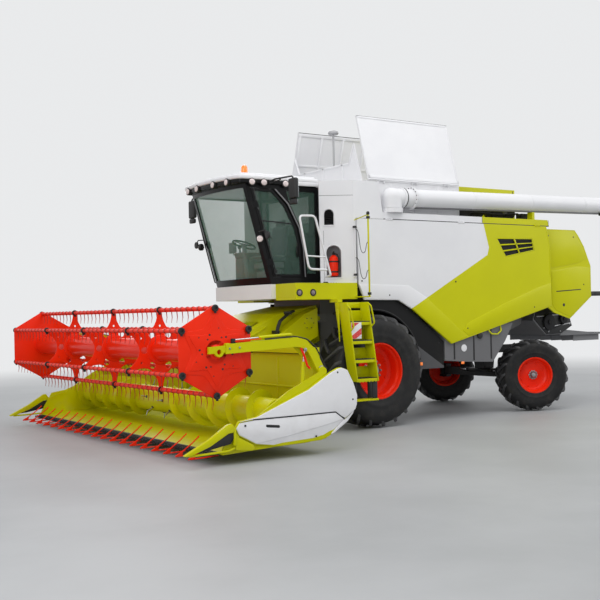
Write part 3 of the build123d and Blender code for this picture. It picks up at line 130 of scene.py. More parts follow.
def scaled(colour: Rgb, factor: float, lift: float = 0.0) -> Rgb:
    """Brightens or darkens a colour."""
    return tuple(channel * factor + lift for channel in colour)


def operator(operation: str, swapped: bool = False) -> Callable[["Signal", "Number"], "Signal"]:
    """Makes one arithmetic method of Signal, with the plain number first where swapped.

    Args:
        operation: Name of the maths node's operation.
        swapped: Whether the other value comes first.

    Returns:
        The method.
    """
    def method(self: "Signal", other: "Number") -> "Signal":
        """Joins both values in one Math node."""
        pair = (other, self) if swapped else (self, other)
        return self.graph.node("ShaderNodeMath", {"operation": operation}, dict(enumerate(pair)))
    return method


@dataclass
class Signal:
    """A shader socket that takes part in Python sums."""

    graph: "Tree"
    socket: bpy.types.NodeSocket

    __add__ = operator("ADD")
    __sub__ = operator("SUBTRACT")
    __rsub__ = operator("SUBTRACT", True)
    __mul__ = operator("MULTIPLY")
    __mod__ = operator("FLOORED_MODULO")
    least = operator("MINIMUM")
    most = operator("MAXIMUM")

    def __abs__(self) -> "Signal":
        """Size without sign."""
        return self.graph.node("ShaderNodeMath", {"operation": "ABSOLUTE"}, {0: self})

    def step(self, low: float, high: float) -> "Signal":
        """A smooth rise from 0 at low to 1 at high."""
        return self.graph.node("ShaderNodeMapRange", {"interpolation_type": "SMOOTHSTEP"},
                              {"Value": self, "From Min": low, "From Max": high})


Number = Signal | float


@dataclass
class Tree:
    """A shader node tree that is filled node by node."""

    tree: bpy.types.NodeTree

    def node(self, kind: str, settings: dict | None = None, inputs: dict | None = None,
             output: int | str = 0) -> Signal:
        """Adds one node.

        Args:
            kind: The node's type.
            settings: Its properties.
            inputs: Values or signals of its sockets by name or number.
            output: The socket that is handed back.

        Returns:
            The chosen output as a signal.
        """
        made = self.tree.nodes.new(kind)
        for key, value in (settings or {}).items():
            setattr(made, key, value)
        for key, value in (inputs or {}).items():
            self.feed(made.inputs[key], value)
        return Signal(self, made.outputs[output])

    def feed(self, socket: bpy.types.NodeSocket, value: Number | Rgb) -> None:
        """Links a signal to a socket, or sets its value.

        Args:
            socket: Where it goes.
            value: A link, a plain value or a colour.
        """
        if isinstance(value, Signal):
            self.tree.links.new(value.socket, socket)
        elif isinstance(value, tuple) and socket.type == "RGBA":
            socket.default_value = (*value, 1.0)
        else:
            socket.default_value = value

    def seen(self) -> Signal:
        """One for what the camera sees, straight, in gloss or through glass.

        Returns:
            The share, 0 or 1.
        """
        total = self.node("ShaderNodeLightPath", output="Is Camera Ray")
        path = total.socket.node.outputs
        for name in ("Is Glossy Ray", "Is Transmission Ray"):
            total = total.most(Signal(self, path[name]))
        return total


class Graph(Tree):
    """The node tree of one material."""

    def __init__(self, name: str) -> None:
        """Starts an empty material with its output and main shader.

        Args:
            name: Name of the material.
        """
        self.material = bpy.data.materials.new(name)
        self.material.use_nodes = True
        super().__init__(self.material.node_tree)
        self.tree.nodes.clear()
        self.shader = self.tree.nodes.new("ShaderNodeBsdfPrincipled")
        self.closing = self.tree.nodes.new("ShaderNodeOutputMaterial").inputs["Surface"]
        self.shaded = Signal(self, self.shader.outputs["BSDF"])
        self.feed(self.closing, self.shaded)
        self.place = self.node("ShaderNodeTexCoord", output="Object")

    def axes(self) -> tuple[Signal, ...]:
        """The shaded point's x, y and z."""
        split = self.node("ShaderNodeSeparateXYZ", inputs={0: self.place})
        return tuple(Signal(self, output) for output in split.socket.node.outputs)

    def noise(self, scale: float, detail: float = 3.0, roughness: float = 0.55) -> Signal:
        """Cloudy noise between 0 and 1."""
        return self.node("ShaderNodeTexNoise", {"noise_dimensions": "3D"},
                         {"Vector": self.place, "Scale": scale, "Detail": detail, "Roughness": roughness})

    def cells(self, scale: float) -> Signal:
        """Distance to the nearest of scattered points, from 0 up."""
        return self.node("ShaderNodeTexVoronoi", {"feature": "F1"}, {"Vector": self.place, "Scale": scale})

    def blend(self, share: Number, first: Signal | Rgb, second: Signal | Rgb) -> Signal:
        """Mixes two colours by a share."""
        return self.node("ShaderNodeMix", {"data_type": "RGBA"}, {0: share, 6: first, 7: second}, output=2)

    def relief(self, height: Signal, depth: float, rounding: float = 0.0) -> Signal:
        """A bump of the given depth in metres, on edges rounded by the given radius.

        Args:
            height: Height of the relief, 0 to 1.
            depth: Its depth in metres.
            rounding: Radius of the softened edges in metres.

        Returns:
            The normal.
        """
        inputs = {"Height": height, "Strength": 1.0, "Distance": depth}
        if rounding > 0:
            inputs["Normal"] = self.node("ShaderNodeBevel", {"samples": 4}, {"Radius": rounding})
        return self.node("ShaderNodeBump", inputs=inputs)

    def surface(self, **sockets: Number | Rgb) -> None:
        """Feeds the main shader's sockets, with spaces written as underscores."""
        for key, value in sockets.items():
            self.feed(self.shader.inputs[key.replace("_", " ")], value)


@dataclass(frozen=True)
class Cut:
    """A flat border between two colours: the side that the direction points to is inside."""

    direction: Point
    through: Point
    softness: float = 1.5

    def mask(self, graph: Graph) -> Signal:
        """One on the inside of the border and zero outside.

        Args:
            graph: The material's graph.

        Returns:
            The share, 0 or 1.
        """
        direction = Vector(self.direction).normalized()
        start = framed(self.through).dot(direction)
        x, y, z = graph.axes()
        height = x * direction.x + y * direction.y + z * direction.z
        return height.step(start - self.softness / 2000, start + self.softness / 2000)

    @staticmethod
    def before(x: float) -> "Cut":
        """A border across the machine, inside in front of it."""
        return Cut((-1.0, 0.0, 0.0), (x, 0.0, 0.0))

    @staticmethod
    def edge(first: Flat, second: Flat) -> "Cut":
        """A border through two (x, z) points, inside on the left of the way from first to second."""
        along = Vector((second[0] - first[0], second[1] - first[1]))
        return Cut((-along.y, 0.0, along.x), (first[0], 0.0, first[1]))


@dataclass(frozen=True)
class Zone:
    """A second colour inside a set of borders."""

    colour: Rgb
    cuts: tuple[Cut, ...]

    def mask(self, graph: Graph) -> Signal:
        """One where all borders agree.

        Args:
            graph: The material's graph.

        Returns:
            The share, 0 to 1.
        """
        share = self.cuts[0].mask(graph)
        for cut in self.cuts[1:]:
            share = share.least(cut.mask(graph))
        return share


@dataclass(frozen=True)
class Finish:
    """What every finish has: a name and the record's slot that it stands for."""

    name: str
    slot: str

    def make(self) -> bpy.types.Material:
        """Builds the material."""
        raise NotImplementedError

    def material(self) -> bpy.types.Material:
        """Gives the material, built once."""
        return bpy.data.materials.get(self.name) or self.make()


@dataclass(frozen=True)
class Paint(Finish):
    """Sprayed paint on sheet metal, with a little dust low down and orange peel in the gloss."""

    colour: Rgb
    zones: tuple[Zone, ...] = ()
    roughness: float = 0.34
    dust: float = 0.12
    rounding: float = 0.006

    def make(self) -> bpy.types.Material:
        """Builds the material.

        Returns:
            The material.
        """
        graph = Graph(self.name)
        colour: Signal | Rgb = self.colour
        for zone in self.zones:
            colour = graph.blend(zone.mask(graph), colour, zone.colour)
        cloud = graph.noise(1.6, 4.0)
        deep = graph.node("ShaderNodeMix", {"data_type": "RGBA", "blend_type": "MULTIPLY"},
                          {0: 1.0, 6: colour, 7: (0.955, 0.955, 0.96)}, output=2)
        colour = graph.blend(cloud.step(0.30, 0.72), deep, colour)
        _, _, z = graph.axes()
        speck = graph.noise(38.0, 5.0, 0.7)
        low = (1.0 - z.step(0.1, 1.5)) * graph.noise(5.0, 4.0).step(0.42, 0.80)
        dirt = low * self.dust + speck.step(0.62, 0.86) * 0.05 * self.dust
        colour = graph.blend(dirt, colour, linear(150, 140, 122))
        peel = graph.noise(240.0, 2.0)
        graph.surface(Base_Color=colour, Roughness=dirt * 0.5 + speck * 0.07 + (self.roughness - 0.03),
                      Specular_IOR_Level=0.14, Coat_Weight=0.06, Coat_Roughness=0.12,
                      Normal=graph.relief(peel, 0.00012, self.rounding))
        return graph.material


@dataclass(frozen=True)
class Moulded(Finish):
    """Grained moulded plastic."""

    colour: Rgb
    roughness: float = 0.55
    grain: float = 320.0
    rounding: float = 0.005

    def make(self) -> bpy.types.Material:
        """Builds the material.

        Returns:
            The material.
        """
        graph = Graph(self.name)
        cloud = graph.noise(4.0, 4.0)
        colour = graph.blend(cloud.step(0.35, 0.8) * 0.5, self.colour, scaled(self.colour, 1.5, 0.006))
        leather = graph.cells(self.grain)
        graph.surface(Base_Color=colour, Roughness=cloud * 0.16 + (self.roughness - 0.08),
                      Normal=graph.relief(leather, 0.0003, self.rounding))
        return graph.material


@dataclass(frozen=True)
class Rubber(Finish):
    """Black tyre or hose rubber, a little grey with dust in its low places."""

    colour: Rgb
    dusty: float = 0.35

    def make(self) -> bpy.types.Material:
        """Builds the material.

        Returns:
            The material.
        """
        graph = Graph(self.name)
        cloud = graph.noise(7.0, 6.0, 0.65)
        fine = graph.noise(160.0, 4.0, 0.7)
        colour = graph.blend(cloud.step(0.4, 0.78) * self.dusty, self.colour, linear(96, 92, 86))
        graph.surface(Base_Color=colour, Roughness=cloud * 0.22 + fine * 0.08 + 0.42, Specular_IOR_Level=0.3,
                      Normal=graph.relief(fine + cloud * 0.6, 0.0012, 0.004))
        return graph.material


@dataclass(frozen=True)
class Metal(Finish):
    """Bare metal: brushed, cast or polished."""

    colour: Rgb
    roughness: float = 0.3
    brushed: float = 1.0
    depth: float = 0.00015

    def make(self) -> bpy.types.Material:
        """Builds the material.

        Returns:
            The material.
        """
        graph = Graph(self.name)
        scale = Vector((1.0, 18.0 * self.brushed + 1.0, 1.0))
        stretched = graph.node("ShaderNodeMapping", {"vector_type": "POINT"},
                               {"Vector": graph.place, "Scale": scale})
        streak = graph.node("ShaderNodeTexNoise", {"noise_dimensions": "3D"},
                            {"Vector": stretched, "Scale": 60.0, "Detail": 5.0, "Roughness": 0.6})
        cloud = graph.noise(9.0, 4.0)
        colour = graph.blend(cloud.step(0.3, 0.75), scaled(self.colour, 0.62), self.colour)
        graph.surface(Base_Color=colour, Metallic=1.0,
                      Roughness=streak * 0.14 + cloud * 0.10 + (self.roughness - 0.12),
                      Normal=graph.relief(streak, self.depth, 0.003))
        return graph.material


@dataclass(frozen=True)
class Glazing(Finish):
    """Tinted sheet glass that shows what is behind it and more gloss at a slant."""

    colour: Rgb
    clear: float = 0.24

    def make(self) -> bpy.types.Material:
        """Builds the material.

        Returns:
            The material.
        """
        graph = Graph(self.name)
        slant = graph.node("ShaderNodeLayerWeight", inputs={"Blend": 0.32}, output="Facing")
        smear = graph.noise(6.0, 5.0, 0.65)
        graph.surface(Base_Color=self.colour, Roughness=smear * 0.05 + 0.015,
                      Alpha=(slant * 0.62 + self.clear + smear * 0.05).least(1.0))
        graph.material.surface_render_method = "BLENDED"
        return graph.material


@dataclass(frozen=True)
class Lens(Finish):
    """A ribbed lamp lens with a painted glow from within and painted glints on its ribs."""

    colour: Rgb
    # Strength of the painted glow, which stands in for light off the reflector; the lamp is not lit.
    glow: float = 0.0
    ribs: float = 90.0

    def make(self) -> bpy.types.Material:
        """Builds the material.

        Returns:
            The material.
        """
        graph = Graph(self.name)
        pattern = graph.cells(self.ribs)
        # Painted glints: the rib pattern's cells are lighter.
        pale = tuple(min(1.0, channel * 1.4 + 0.08) for channel in self.colour)
        colour = graph.blend(pattern.step(0.1, 0.7), pale, self.colour)
        graph.surface(Base_Color=colour, Roughness=pattern * 0.12 + 0.08, Coat_Weight=0.6,
                      Coat_Roughness=0.05, Emission_Color=colour, Emission_Strength=self.glow,
                      Normal=graph.relief(pattern, 0.0012))
        return graph.material


@dataclass(frozen=True)
class Weave(Finish):
    """Woven seat cloth."""

    colour: Rgb

    def make(self) -> bpy.types.Material:
        """Builds the material.

        Returns:
            The material.
        """
        graph = Graph(self.name)
        x, y, z = graph.axes()
        across = abs((y * 190.0) % 1.0 - 0.5)
        along = abs(((x + z) * 190.0) % 1.0 - 0.5)
        threads = across.most(along) * 2.0
        cloud = graph.noise(14.0, 4.0)
        pale = scaled(self.colour, 1.8, 0.01)
        graph.surface(Base_Color=graph.blend(threads * 0.6 + cloud * 0.2, self.colour, pale), Roughness=0.85,
                      Sheen_Weight=0.3, Normal=graph.relief(threads, 0.0012, 0.012))
        return graph.material


LIME = linear(203, 203, 2)
WHITE = linear(233, 233, 235)
SIGNAL_RED = linear(246, 46, 14)
GREY = linear(128, 128, 130)
DARK = linear(34, 34, 36)
BLACK = linear(20, 20, 21)
AMBER = linear(255, 120, 10)


class Finishes:
    """The finishes of the machine, by what they cover."""

    white = Paint("white_gloss", "white_paint", WHITE)
    lime = Paint("lime_gloss", "lime_paint", LIME)
    red = Paint("red_gloss", "red_paint", SIGNAL_RED, roughness=0.30)
    grey = Paint("grey_satin", "grey_paint", GREY, roughness=0.48)
    frame_dark = Paint("frame_satin", "dark_frame", DARK, roughness=0.42)
    black = Moulded("black_grained", "black_plastic", BLACK)
    # Near-black that stands in for shade: behind the side grilles and on the drive seen under the unloading
    # tube.
    vent_dark = Moulded("vent_shadow", "dark_frame", linear(9, 9, 10), 0.7)
    pale_mast = Paint("mast_gloss", "dark_frame", linear(176, 176, 178))
    gloss_black = Paint("black_gloss", "dark_frame", BLACK, roughness=0.22, dust=0.1)
    tyre = Rubber("tyre_rubber_worn", "tyre_rubber", linear(24, 24, 25), 0.16)
    # The lugs' lighter rubber is partly wear and partly painted light on the lug faces.
    tread = Rubber("tread_rubber_worn", "tyre_rubber", linear(66, 66, 68), 0.3)
    hose = Rubber("hose_rubber", "cord_rubber", linear(30, 30, 31), 0.15)
    steel = Metal("worked_steel", "bright_steel", linear(176, 176, 178), 0.34)
    chrome = Metal("polished_rod", "rod_chrome", linear(225, 225, 228), 0.16, 0.2)
    iron = Metal("engine_casting", "engine_iron", linear(110, 110, 112), 0.6, 0.0, 0.0012)
    glass = Glazing("cab_glazing", "tinted_glass", linear(116, 156, 138), 0.05)
    mirror_glass = Metal("mirror_face", "rod_chrome", linear(190, 196, 200), 0.13, 0.0, 0.00001)
    seat = Weave("seat_weave", "seat_fabric", linear(58, 60, 64))
    # The last number of each lens is the strength of its painted glow.
    amber = Lens("amber_lens", "lamp_plastic", AMBER, 0.25)
    clear_lens = Lens("clear_lens", "lamp_plastic", linear(222, 218, 208), 0.12)
    work_lens = Lens("work_lamp_lens", "lamp_plastic", linear(206, 192, 190), 0.04)
    smoked_lens = Lens("smoked_lens", "lamp_plastic", linear(118, 104, 108), 0.02)
    red_lens = Lens("red_lens", "lamp_plastic", linear(190, 12, 8), 0.1)
    tine = Moulded("tine_plastic", "red_paint", linear(176, 40, 22), 0.45)


class Form:
    """A mesh in the making, in the drawings' millimetres."""

    def __init__(self) -> None:
        """Starts empty."""
        self.mesh = bmesh.new()

    def take(self, part: bmesh.types.BMesh, edge: float = 0.0, segments: int = 2, angle: float = 30.0,
             place: Matrix | None = None) -> None:
        """Rounds a part's sharp edges, places it and adds it.

        Args:
            part: The part, which is used up.
            edge: Radius of its edges.
            segments: Steps round each edge.
            angle: Edges whose faces meet at more than this many degrees are rounded.
            place: A transform, applied last.
        """
        bmesh.ops.recalc_face_normals(part, faces=part.faces[:])
        if edge > 0:
            edges = [e for e in part.edges if e.is_manifold and e.calc_face_angle(0.0) > math.radians(angle)]
            bmesh.ops.bevel(part, geom=edges, offset=edge, offset_type="OFFSET", segments=segments,
                            profile=0.5, affect="EDGES", clamp_overlap=True, material=-1)
        if place is not None:
            bmesh.ops.transform(part, matrix=place, verts=part.verts[:])
        self._add(part, [Matrix.Identity(4)])

    def _add(self, part: bmesh.types.BMesh, moves: Iterable[Matrix]) -> None:
        """Adds a part once for each move, and uses it up.

        Args:
            part: The part.
            moves: Where each copy goes.
        """
        data = bpy.data.meshes.new("part")
        part.to_mesh(data)
        part.free()
        for move in moves:
            copy = data.copy()
            copy.transform(move)
            self.mesh.from_mesh(copy)
            bpy.data.meshes.remove(copy)
        bpy.data.meshes.remove(data)

    def block(self, low: Point, high: Point, edge: float = 0.0, segments: int = 2,
              turn: Matrix | None = None) -> None:
        """Adds a box between two corners, with rounded edges, turned last about the drawings' origin.

        Args:
            low: Lowest corner.
            high: Highest corner.
            edge: Radius of its edges.
            segments: Steps round each edge.
            turn: A transform, applied last.
        """
        part = bmesh.new()
        size = [abs(b - a) for a, b in zip(low, high)]
        middle = Matrix.Translation((Vector(low) + Vector(high)) / 2)
        bmesh.ops.create_cube(part, size=1.0, matrix=middle @ Matrix.Diagonal((*size, 1.0)))
        self.take(part, edge, segments, place=turn)

    def blocks(self, corners: Iterable[tuple[Point, Point]], edge: float = 0.0, segments: int = 2) -> None:
        """Adds boxes that have the same rounding."""
        for low, high in corners:
            self.block(low, high, edge, segments)

    def plate(self, outline: Sequence[Point], along: Point, edge: float = 0.0, segments: int = 2) -> None:
        """Adds an outline drawn out along a direction, with rounded edges.

        Args:
            outline: The points of its face.
            along: How far and which way it is drawn out.
            edge: Radius of its edges.
            segments: Steps round each edge.
        """
        part = bmesh.new()
        face = part.faces.new([part.verts.new(p) for p in outline])
        grown = bmesh.ops.extrude_face_region(part, geom=[face], use_keep_orig=True)
        moved = [v for v in grown["geom"] if isinstance(v, bmesh.types.BMVert)]
        bmesh.ops.translate(part, verts=moved, vec=Vector(along))
        self.take(part, edge, segments)

    def side(self, outline: Sequence[Flat], y0: float, y1: float, edge: float = 0.0,
             segments: int = 2) -> None:
        """Adds an (x, z) outline drawn out from y0 to y1."""
        self.plate([(x, y0, z) for x, z in outline], (0, y1 - y0, 0), edge, segments)

    def plan(self, outline: Sequence[Flat], z0: float, z1: float, edge: float = 0.0,
             segments: int = 2) -> None:
        """Adds an (x, y) outline drawn out from z0 to z1."""
        self.plate([(x, y, z0) for x, y in outline], (0, 0, z1 - z0), edge, segments)

    def cross(self, outline: Sequence[Flat], x0: float, x1: float, edge: float = 0.0,
              segments: int = 2) -> None:
        """Adds a (y, z) outline drawn out from x0 to x1."""
        self.plate([(x0, y, z) for y, z in outline], (x1 - x0, 0, 0), edge, segments)

    def rod(self, start: Point | Vector, end: Point | Vector, radius: float, tip: float | None = None,
            sides: int = 20, edge: float = 0.0) -> None:
        """Adds a round or many-sided bar between two points, tapered where a tip radius is given.

        Args:
            start: Middle of one end.
            end: Middle of the other end.
            radius: Radius at the start.
            tip: Radius at the end, where it differs.
            sides: Sides of its section.
            edge: Radius of its rims.
        """
        part = bmesh.new()
        first, last = Vector(start), Vector(end)
        bmesh.ops.create_cone(part, cap_ends=True, segments=sides, radius1=radius,
                              radius2=radius if tip is None else tip, depth=(last - first).length,
                              matrix=Matrix.Translation((first + last) / 2) @ facing(last - first))
        self.take(part, edge, angle=50.0)

    def studs(self, places: Iterable[Flat], y0: float, y1: float, radius: float, sides: int = 20,
              edge: float = 0.0) -> None:
        """Adds bars from y0 to y1 at (x, z) places."""
        for x, z in places:
            self.rod((x, y0, z), (x, y1, z), radius, sides=sides, edge=edge)

    def ball(self, centre: Point, radius: float, squeeze: Point = (1, 1, 1), sides: int = 20) -> None:
        """Adds a ball, flattened along the axes where asked.

        Args:
            centre: Its middle.
            radius: Its radius.
            squeeze: Its share of that on each axis.
            sides: Steps round it.
        """
        part = bmesh.new()
        place = Matrix.Translation(Vector(centre)) @ Matrix.Diagonal((*squeeze, 1.0))
        bmesh.ops.create_uvsphere(part, u_segments=sides, v_segments=sides // 2, radius=radius, matrix=place)
        self.take(part)

    def turned(self, profile: Sequence[Flat], origin: Point = ORIGIN, axis: Point | Vector = ACROSS,
               steps: int = 48, edge: float = 0.0) -> None:
        """Adds a closed (radius, height) profile spun about an axis.

        Args:
            profile: Points as radius and height along the axis.
            origin: Where the axis starts.
            axis: Its direction.
            steps: Parts of a full turn.
            edge: Radius of the profile's corners.
        """
        part = bmesh.new()
        points = [part.verts.new((r, 0.0, h)) for r, h in profile]
        edges = [part.edges.new((a, b)) for a, b in zip(points, points[1:] + points[:1])]
        bmesh.ops.spin(part, geom=points + edges, cent=ORIGIN, axis=UP, steps=steps, angle=math.tau,
                       use_merge=True)
        on_axis = [v for v in part.verts if v.co.to_2d().length < 1e-4]
        if on_axis:
            bmesh.ops.remove_doubles(part, verts=on_axis, dist=1e-3)
        bmesh.ops.delete(part, geom=[e for e in part.edges if not e.link_faces], context="EDGES")
        self.take(part, edge, angle=25.0, place=Matrix.Translation(Vector(origin)) @ facing(axis))

    def pipe(self, points: Sequence[Point], radius: float, bend: float = 60.0, sides: int = 3) -> None:
        """Adds a rigid round pipe with bent corners.

        Args:
            points: Its ends and corners.
            radius: Outer radius.
            bend: How far from a corner its bend starts.
            sides: Resolution of the round section.
        """
        line = [Vector(points[0])]
        for last, here, ahead in zip(points, points[1:], points[2:]):
            corner, back, forth = Vector(here), Vector(last), Vector(ahead)
            short = min(bend, (corner - back).length * 0.45, (forth - corner).length * 0.45)
            line += [corner + (back - corner).normalized() * short, corner,
                     corner + (forth - corner).normalized() * short]
        line.append(Vector(points[-1]))
        holder = bpy.data.objects.new("pipe", round_line("pipe", line, radius, sides, 5))
        baked = bpy.data.meshes.new_from_object(holder)
        part = bmesh.new()
        part.from_mesh(baked)
        curve = holder.data
        for data, store in ((holder, bpy.data.objects), (curve, bpy.data.curves), (baked, bpy.data.meshes)):
            store.remove(data)
        bmesh.ops.remove_doubles(part, verts=part.verts[:], dist=0.01)
        self.take(part)

    def ring_of(self, count: int, origin: Point, make: Callable[["Form"], None], start: float = 0.0) -> None:
        """Repeats what make adds, turned about the y axis through origin.

        Args:
            count: How many copies.
            origin: A point on the axis.
            make: Adds one copy to a form.
            start: Angle of the first, in radians.
        """
        centre = Matrix.Translation(Vector(origin))
        turns = [Matrix.Rotation(start + math.tau * k / count, 4, Vector(ACROSS)) for k in range(count)]
        self._repeat(make, [centre @ turn @ centre.inverted() for turn in turns])

    def row_of(self, count: int, pitch: Point, make: Callable[["Form"], None]) -> None:
        """Repeats what make adds at a constant pitch."""
        self._repeat(make, [Matrix.Translation(Vector(pitch) * k) for k in range(count)])

    def _repeat(self, make: Callable[["Form"], None], moves: Iterable[Matrix]) -> None:
        """Adds what make adds once for each move.

        Args:
            make: Adds one copy to a form.
            moves: Where each copy goes.
        """
        first = Form()
        make(first)
        self._add(first.mesh, moves)

    def mirror(self, verts: Iterable[bmesh.types.BMVert], faces: Iterable[bmesh.types.BMFace]) -> "Form":
        """Turns part of it into its mirror image on the machine's other side.

        Args:
            verts: The part's corners.
            faces: The part's faces.

        Returns:
            The form itself.
        """
        bmesh.ops.scale(self.mesh, vec=(1.0, -1.0, 1.0), verts=list(verts))
        bmesh.ops.reverse_faces(self.mesh, faces=list(faces))
        return self

    def both_sides(self) -> "Form":
        """Adds the mirror image on the machine's other side.

        Returns:
            The form itself.
        """
        whole = self.mesh.verts[:] + self.mesh.edges[:] + self.mesh.faces[:]
        copied = bmesh.ops.duplicate(self.mesh, geom=whole)["geom"]
        return self.mirror((v for v in copied if isinstance(v, bmesh.types.BMVert)),
                           (f for f in copied if isinstance(f, bmesh.types.BMFace)))

    def on(self, side: Side) -> "Form":
        """Mirrors what was drawn on the left where it belongs on the right."""
        return self.mirror(self.mesh.verts, self.mesh.faces) if side is Side.RIGHT else self

    def moved(self, matrix: Matrix) -> "Form":
        """Moves all of it, in the drawings' millimetres."""
        bmesh.ops.transform(self.mesh, matrix=matrix, verts=self.mesh.verts[:])
        return self

    def data(self, name: str) -> bpy.types.Mesh:
        """Turns the form into mesh data in the frame's metres, and uses it up.

        Args:
            name: Name of the mesh data.

        Returns:
            The mesh data.
        """
        self.moved(TO_FRAME)
        data = bpy.data.meshes.new(name)
        self.mesh.to_mesh(data)
        self.mesh.free()
        return data

    def piece(self, name: str, finish: Finish, body: str = "machine", replaces: str = "") -> bpy.types.Object:
        """Turns the form into an object of the scene.

        Args:
            name: The piece's name.
            finish: What it is made of.
            body: The CAD body that it rides on.
            replaces: The CAD node that it stands for.

        Returns:
            The new object.
        """
        for face in self.mesh.faces:
            face.smooth = True
        data = self.data(name)
        data.set_sharp_from_angle(angle=CREASE)
        data.materials.append(finish.material())
        made = bpy.data.objects.new(name, data)
        bpy.context.scene.collection.objects.link(made)
        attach(made, body)
        if replaces:
            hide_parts(replaces)
        log.info("%s: %d faces on %s", name, len(data.polygons), body)
        return made


def round_line(name: str, line: Sequence[Vector], radius: float, sides: int, steps: int) -> bpy.types.Curve:
    """Makes a smooth round curve.

    Args:
        name: Its name.
        line: The points that it is drawn along.
        radius: Its radius.
        sides: Resolution of its round section.
        steps: Resolution along it.

    Returns:
        The curve.
    """
    curve = bpy.data.curves.new(name, "CURVE")
    curve.dimensions = "3D"
    curve.bevel_depth = radius
    curve.bevel_resolution = sides
    curve.use_fill_caps = True
    curve.resolution_u = steps
    spline = curve.splines.new("NURBS")
    spline.points.add(len(line) - 1)
    for point, place in zip(spline.points, line):
        point.co = (*place, 1.0)
    spline.order_u = 3
    spline.use_endpoint_u = True
    return curve


def collar(inner: float, outer: float, low: float, high: float) -> Outline:
    """Gives the square profile of a ring."""
    return (inner, low), (outer, low), (outer, high), (inner, high)


def hand_out(body: str, *rows: tuple[Form, str, Finish]) -> None:
    """Turns each form and its mirror image into a piece of one body."""
    for form, name, finish in rows:
        form.both_sides().piece(name, finish, body)


def dress(finish: Finish, *nodes: str) -> None:
    """Gives CAD nodes their finish.

    Args:
        finish: What they are made of.
        *nodes: Names of the nodes.
    """
    for name in nodes:
        node = frame["nodes"][name]
        node.data.materials.clear()
        node.data.materials.append(finish.material())


def carve(piece: bpy.types.Object, cutter: Form) -> None:
    """Cuts a form, drawn in millimetres, out of a finished piece.

    Args:
        piece: The finished piece.
        cutter: What is cut out, which is used up.
    """
    tool = bpy.data.objects.new("cutter", cutter.data("cutter"))
    bpy.context.scene.collection.objects.link(tool)
    cut = piece.modifiers.new("cut", "BOOLEAN")
    cut.operation = "DIFFERENCE"
    cut.solver = "EXACT"
    cut.object = tool
    bpy.context.view_layer.update()
    result = bpy.data.meshes.new_from_object(piece.evaluated_get(bpy.context.evaluated_depsgraph_get()))
    piece.modifiers.clear()
    material = piece.data.materials[0]
    old, piece.data = piece.data, result
    result.name = old.name
    result.materials.clear()
    result.materials.append(material)
    result.set_sharp_from_angle(angle=CREASE)
    spent = tool.data
    bpy.data.objects.remove(tool)
    for data in (old, spent):
        bpy.data.meshes.remove(data)


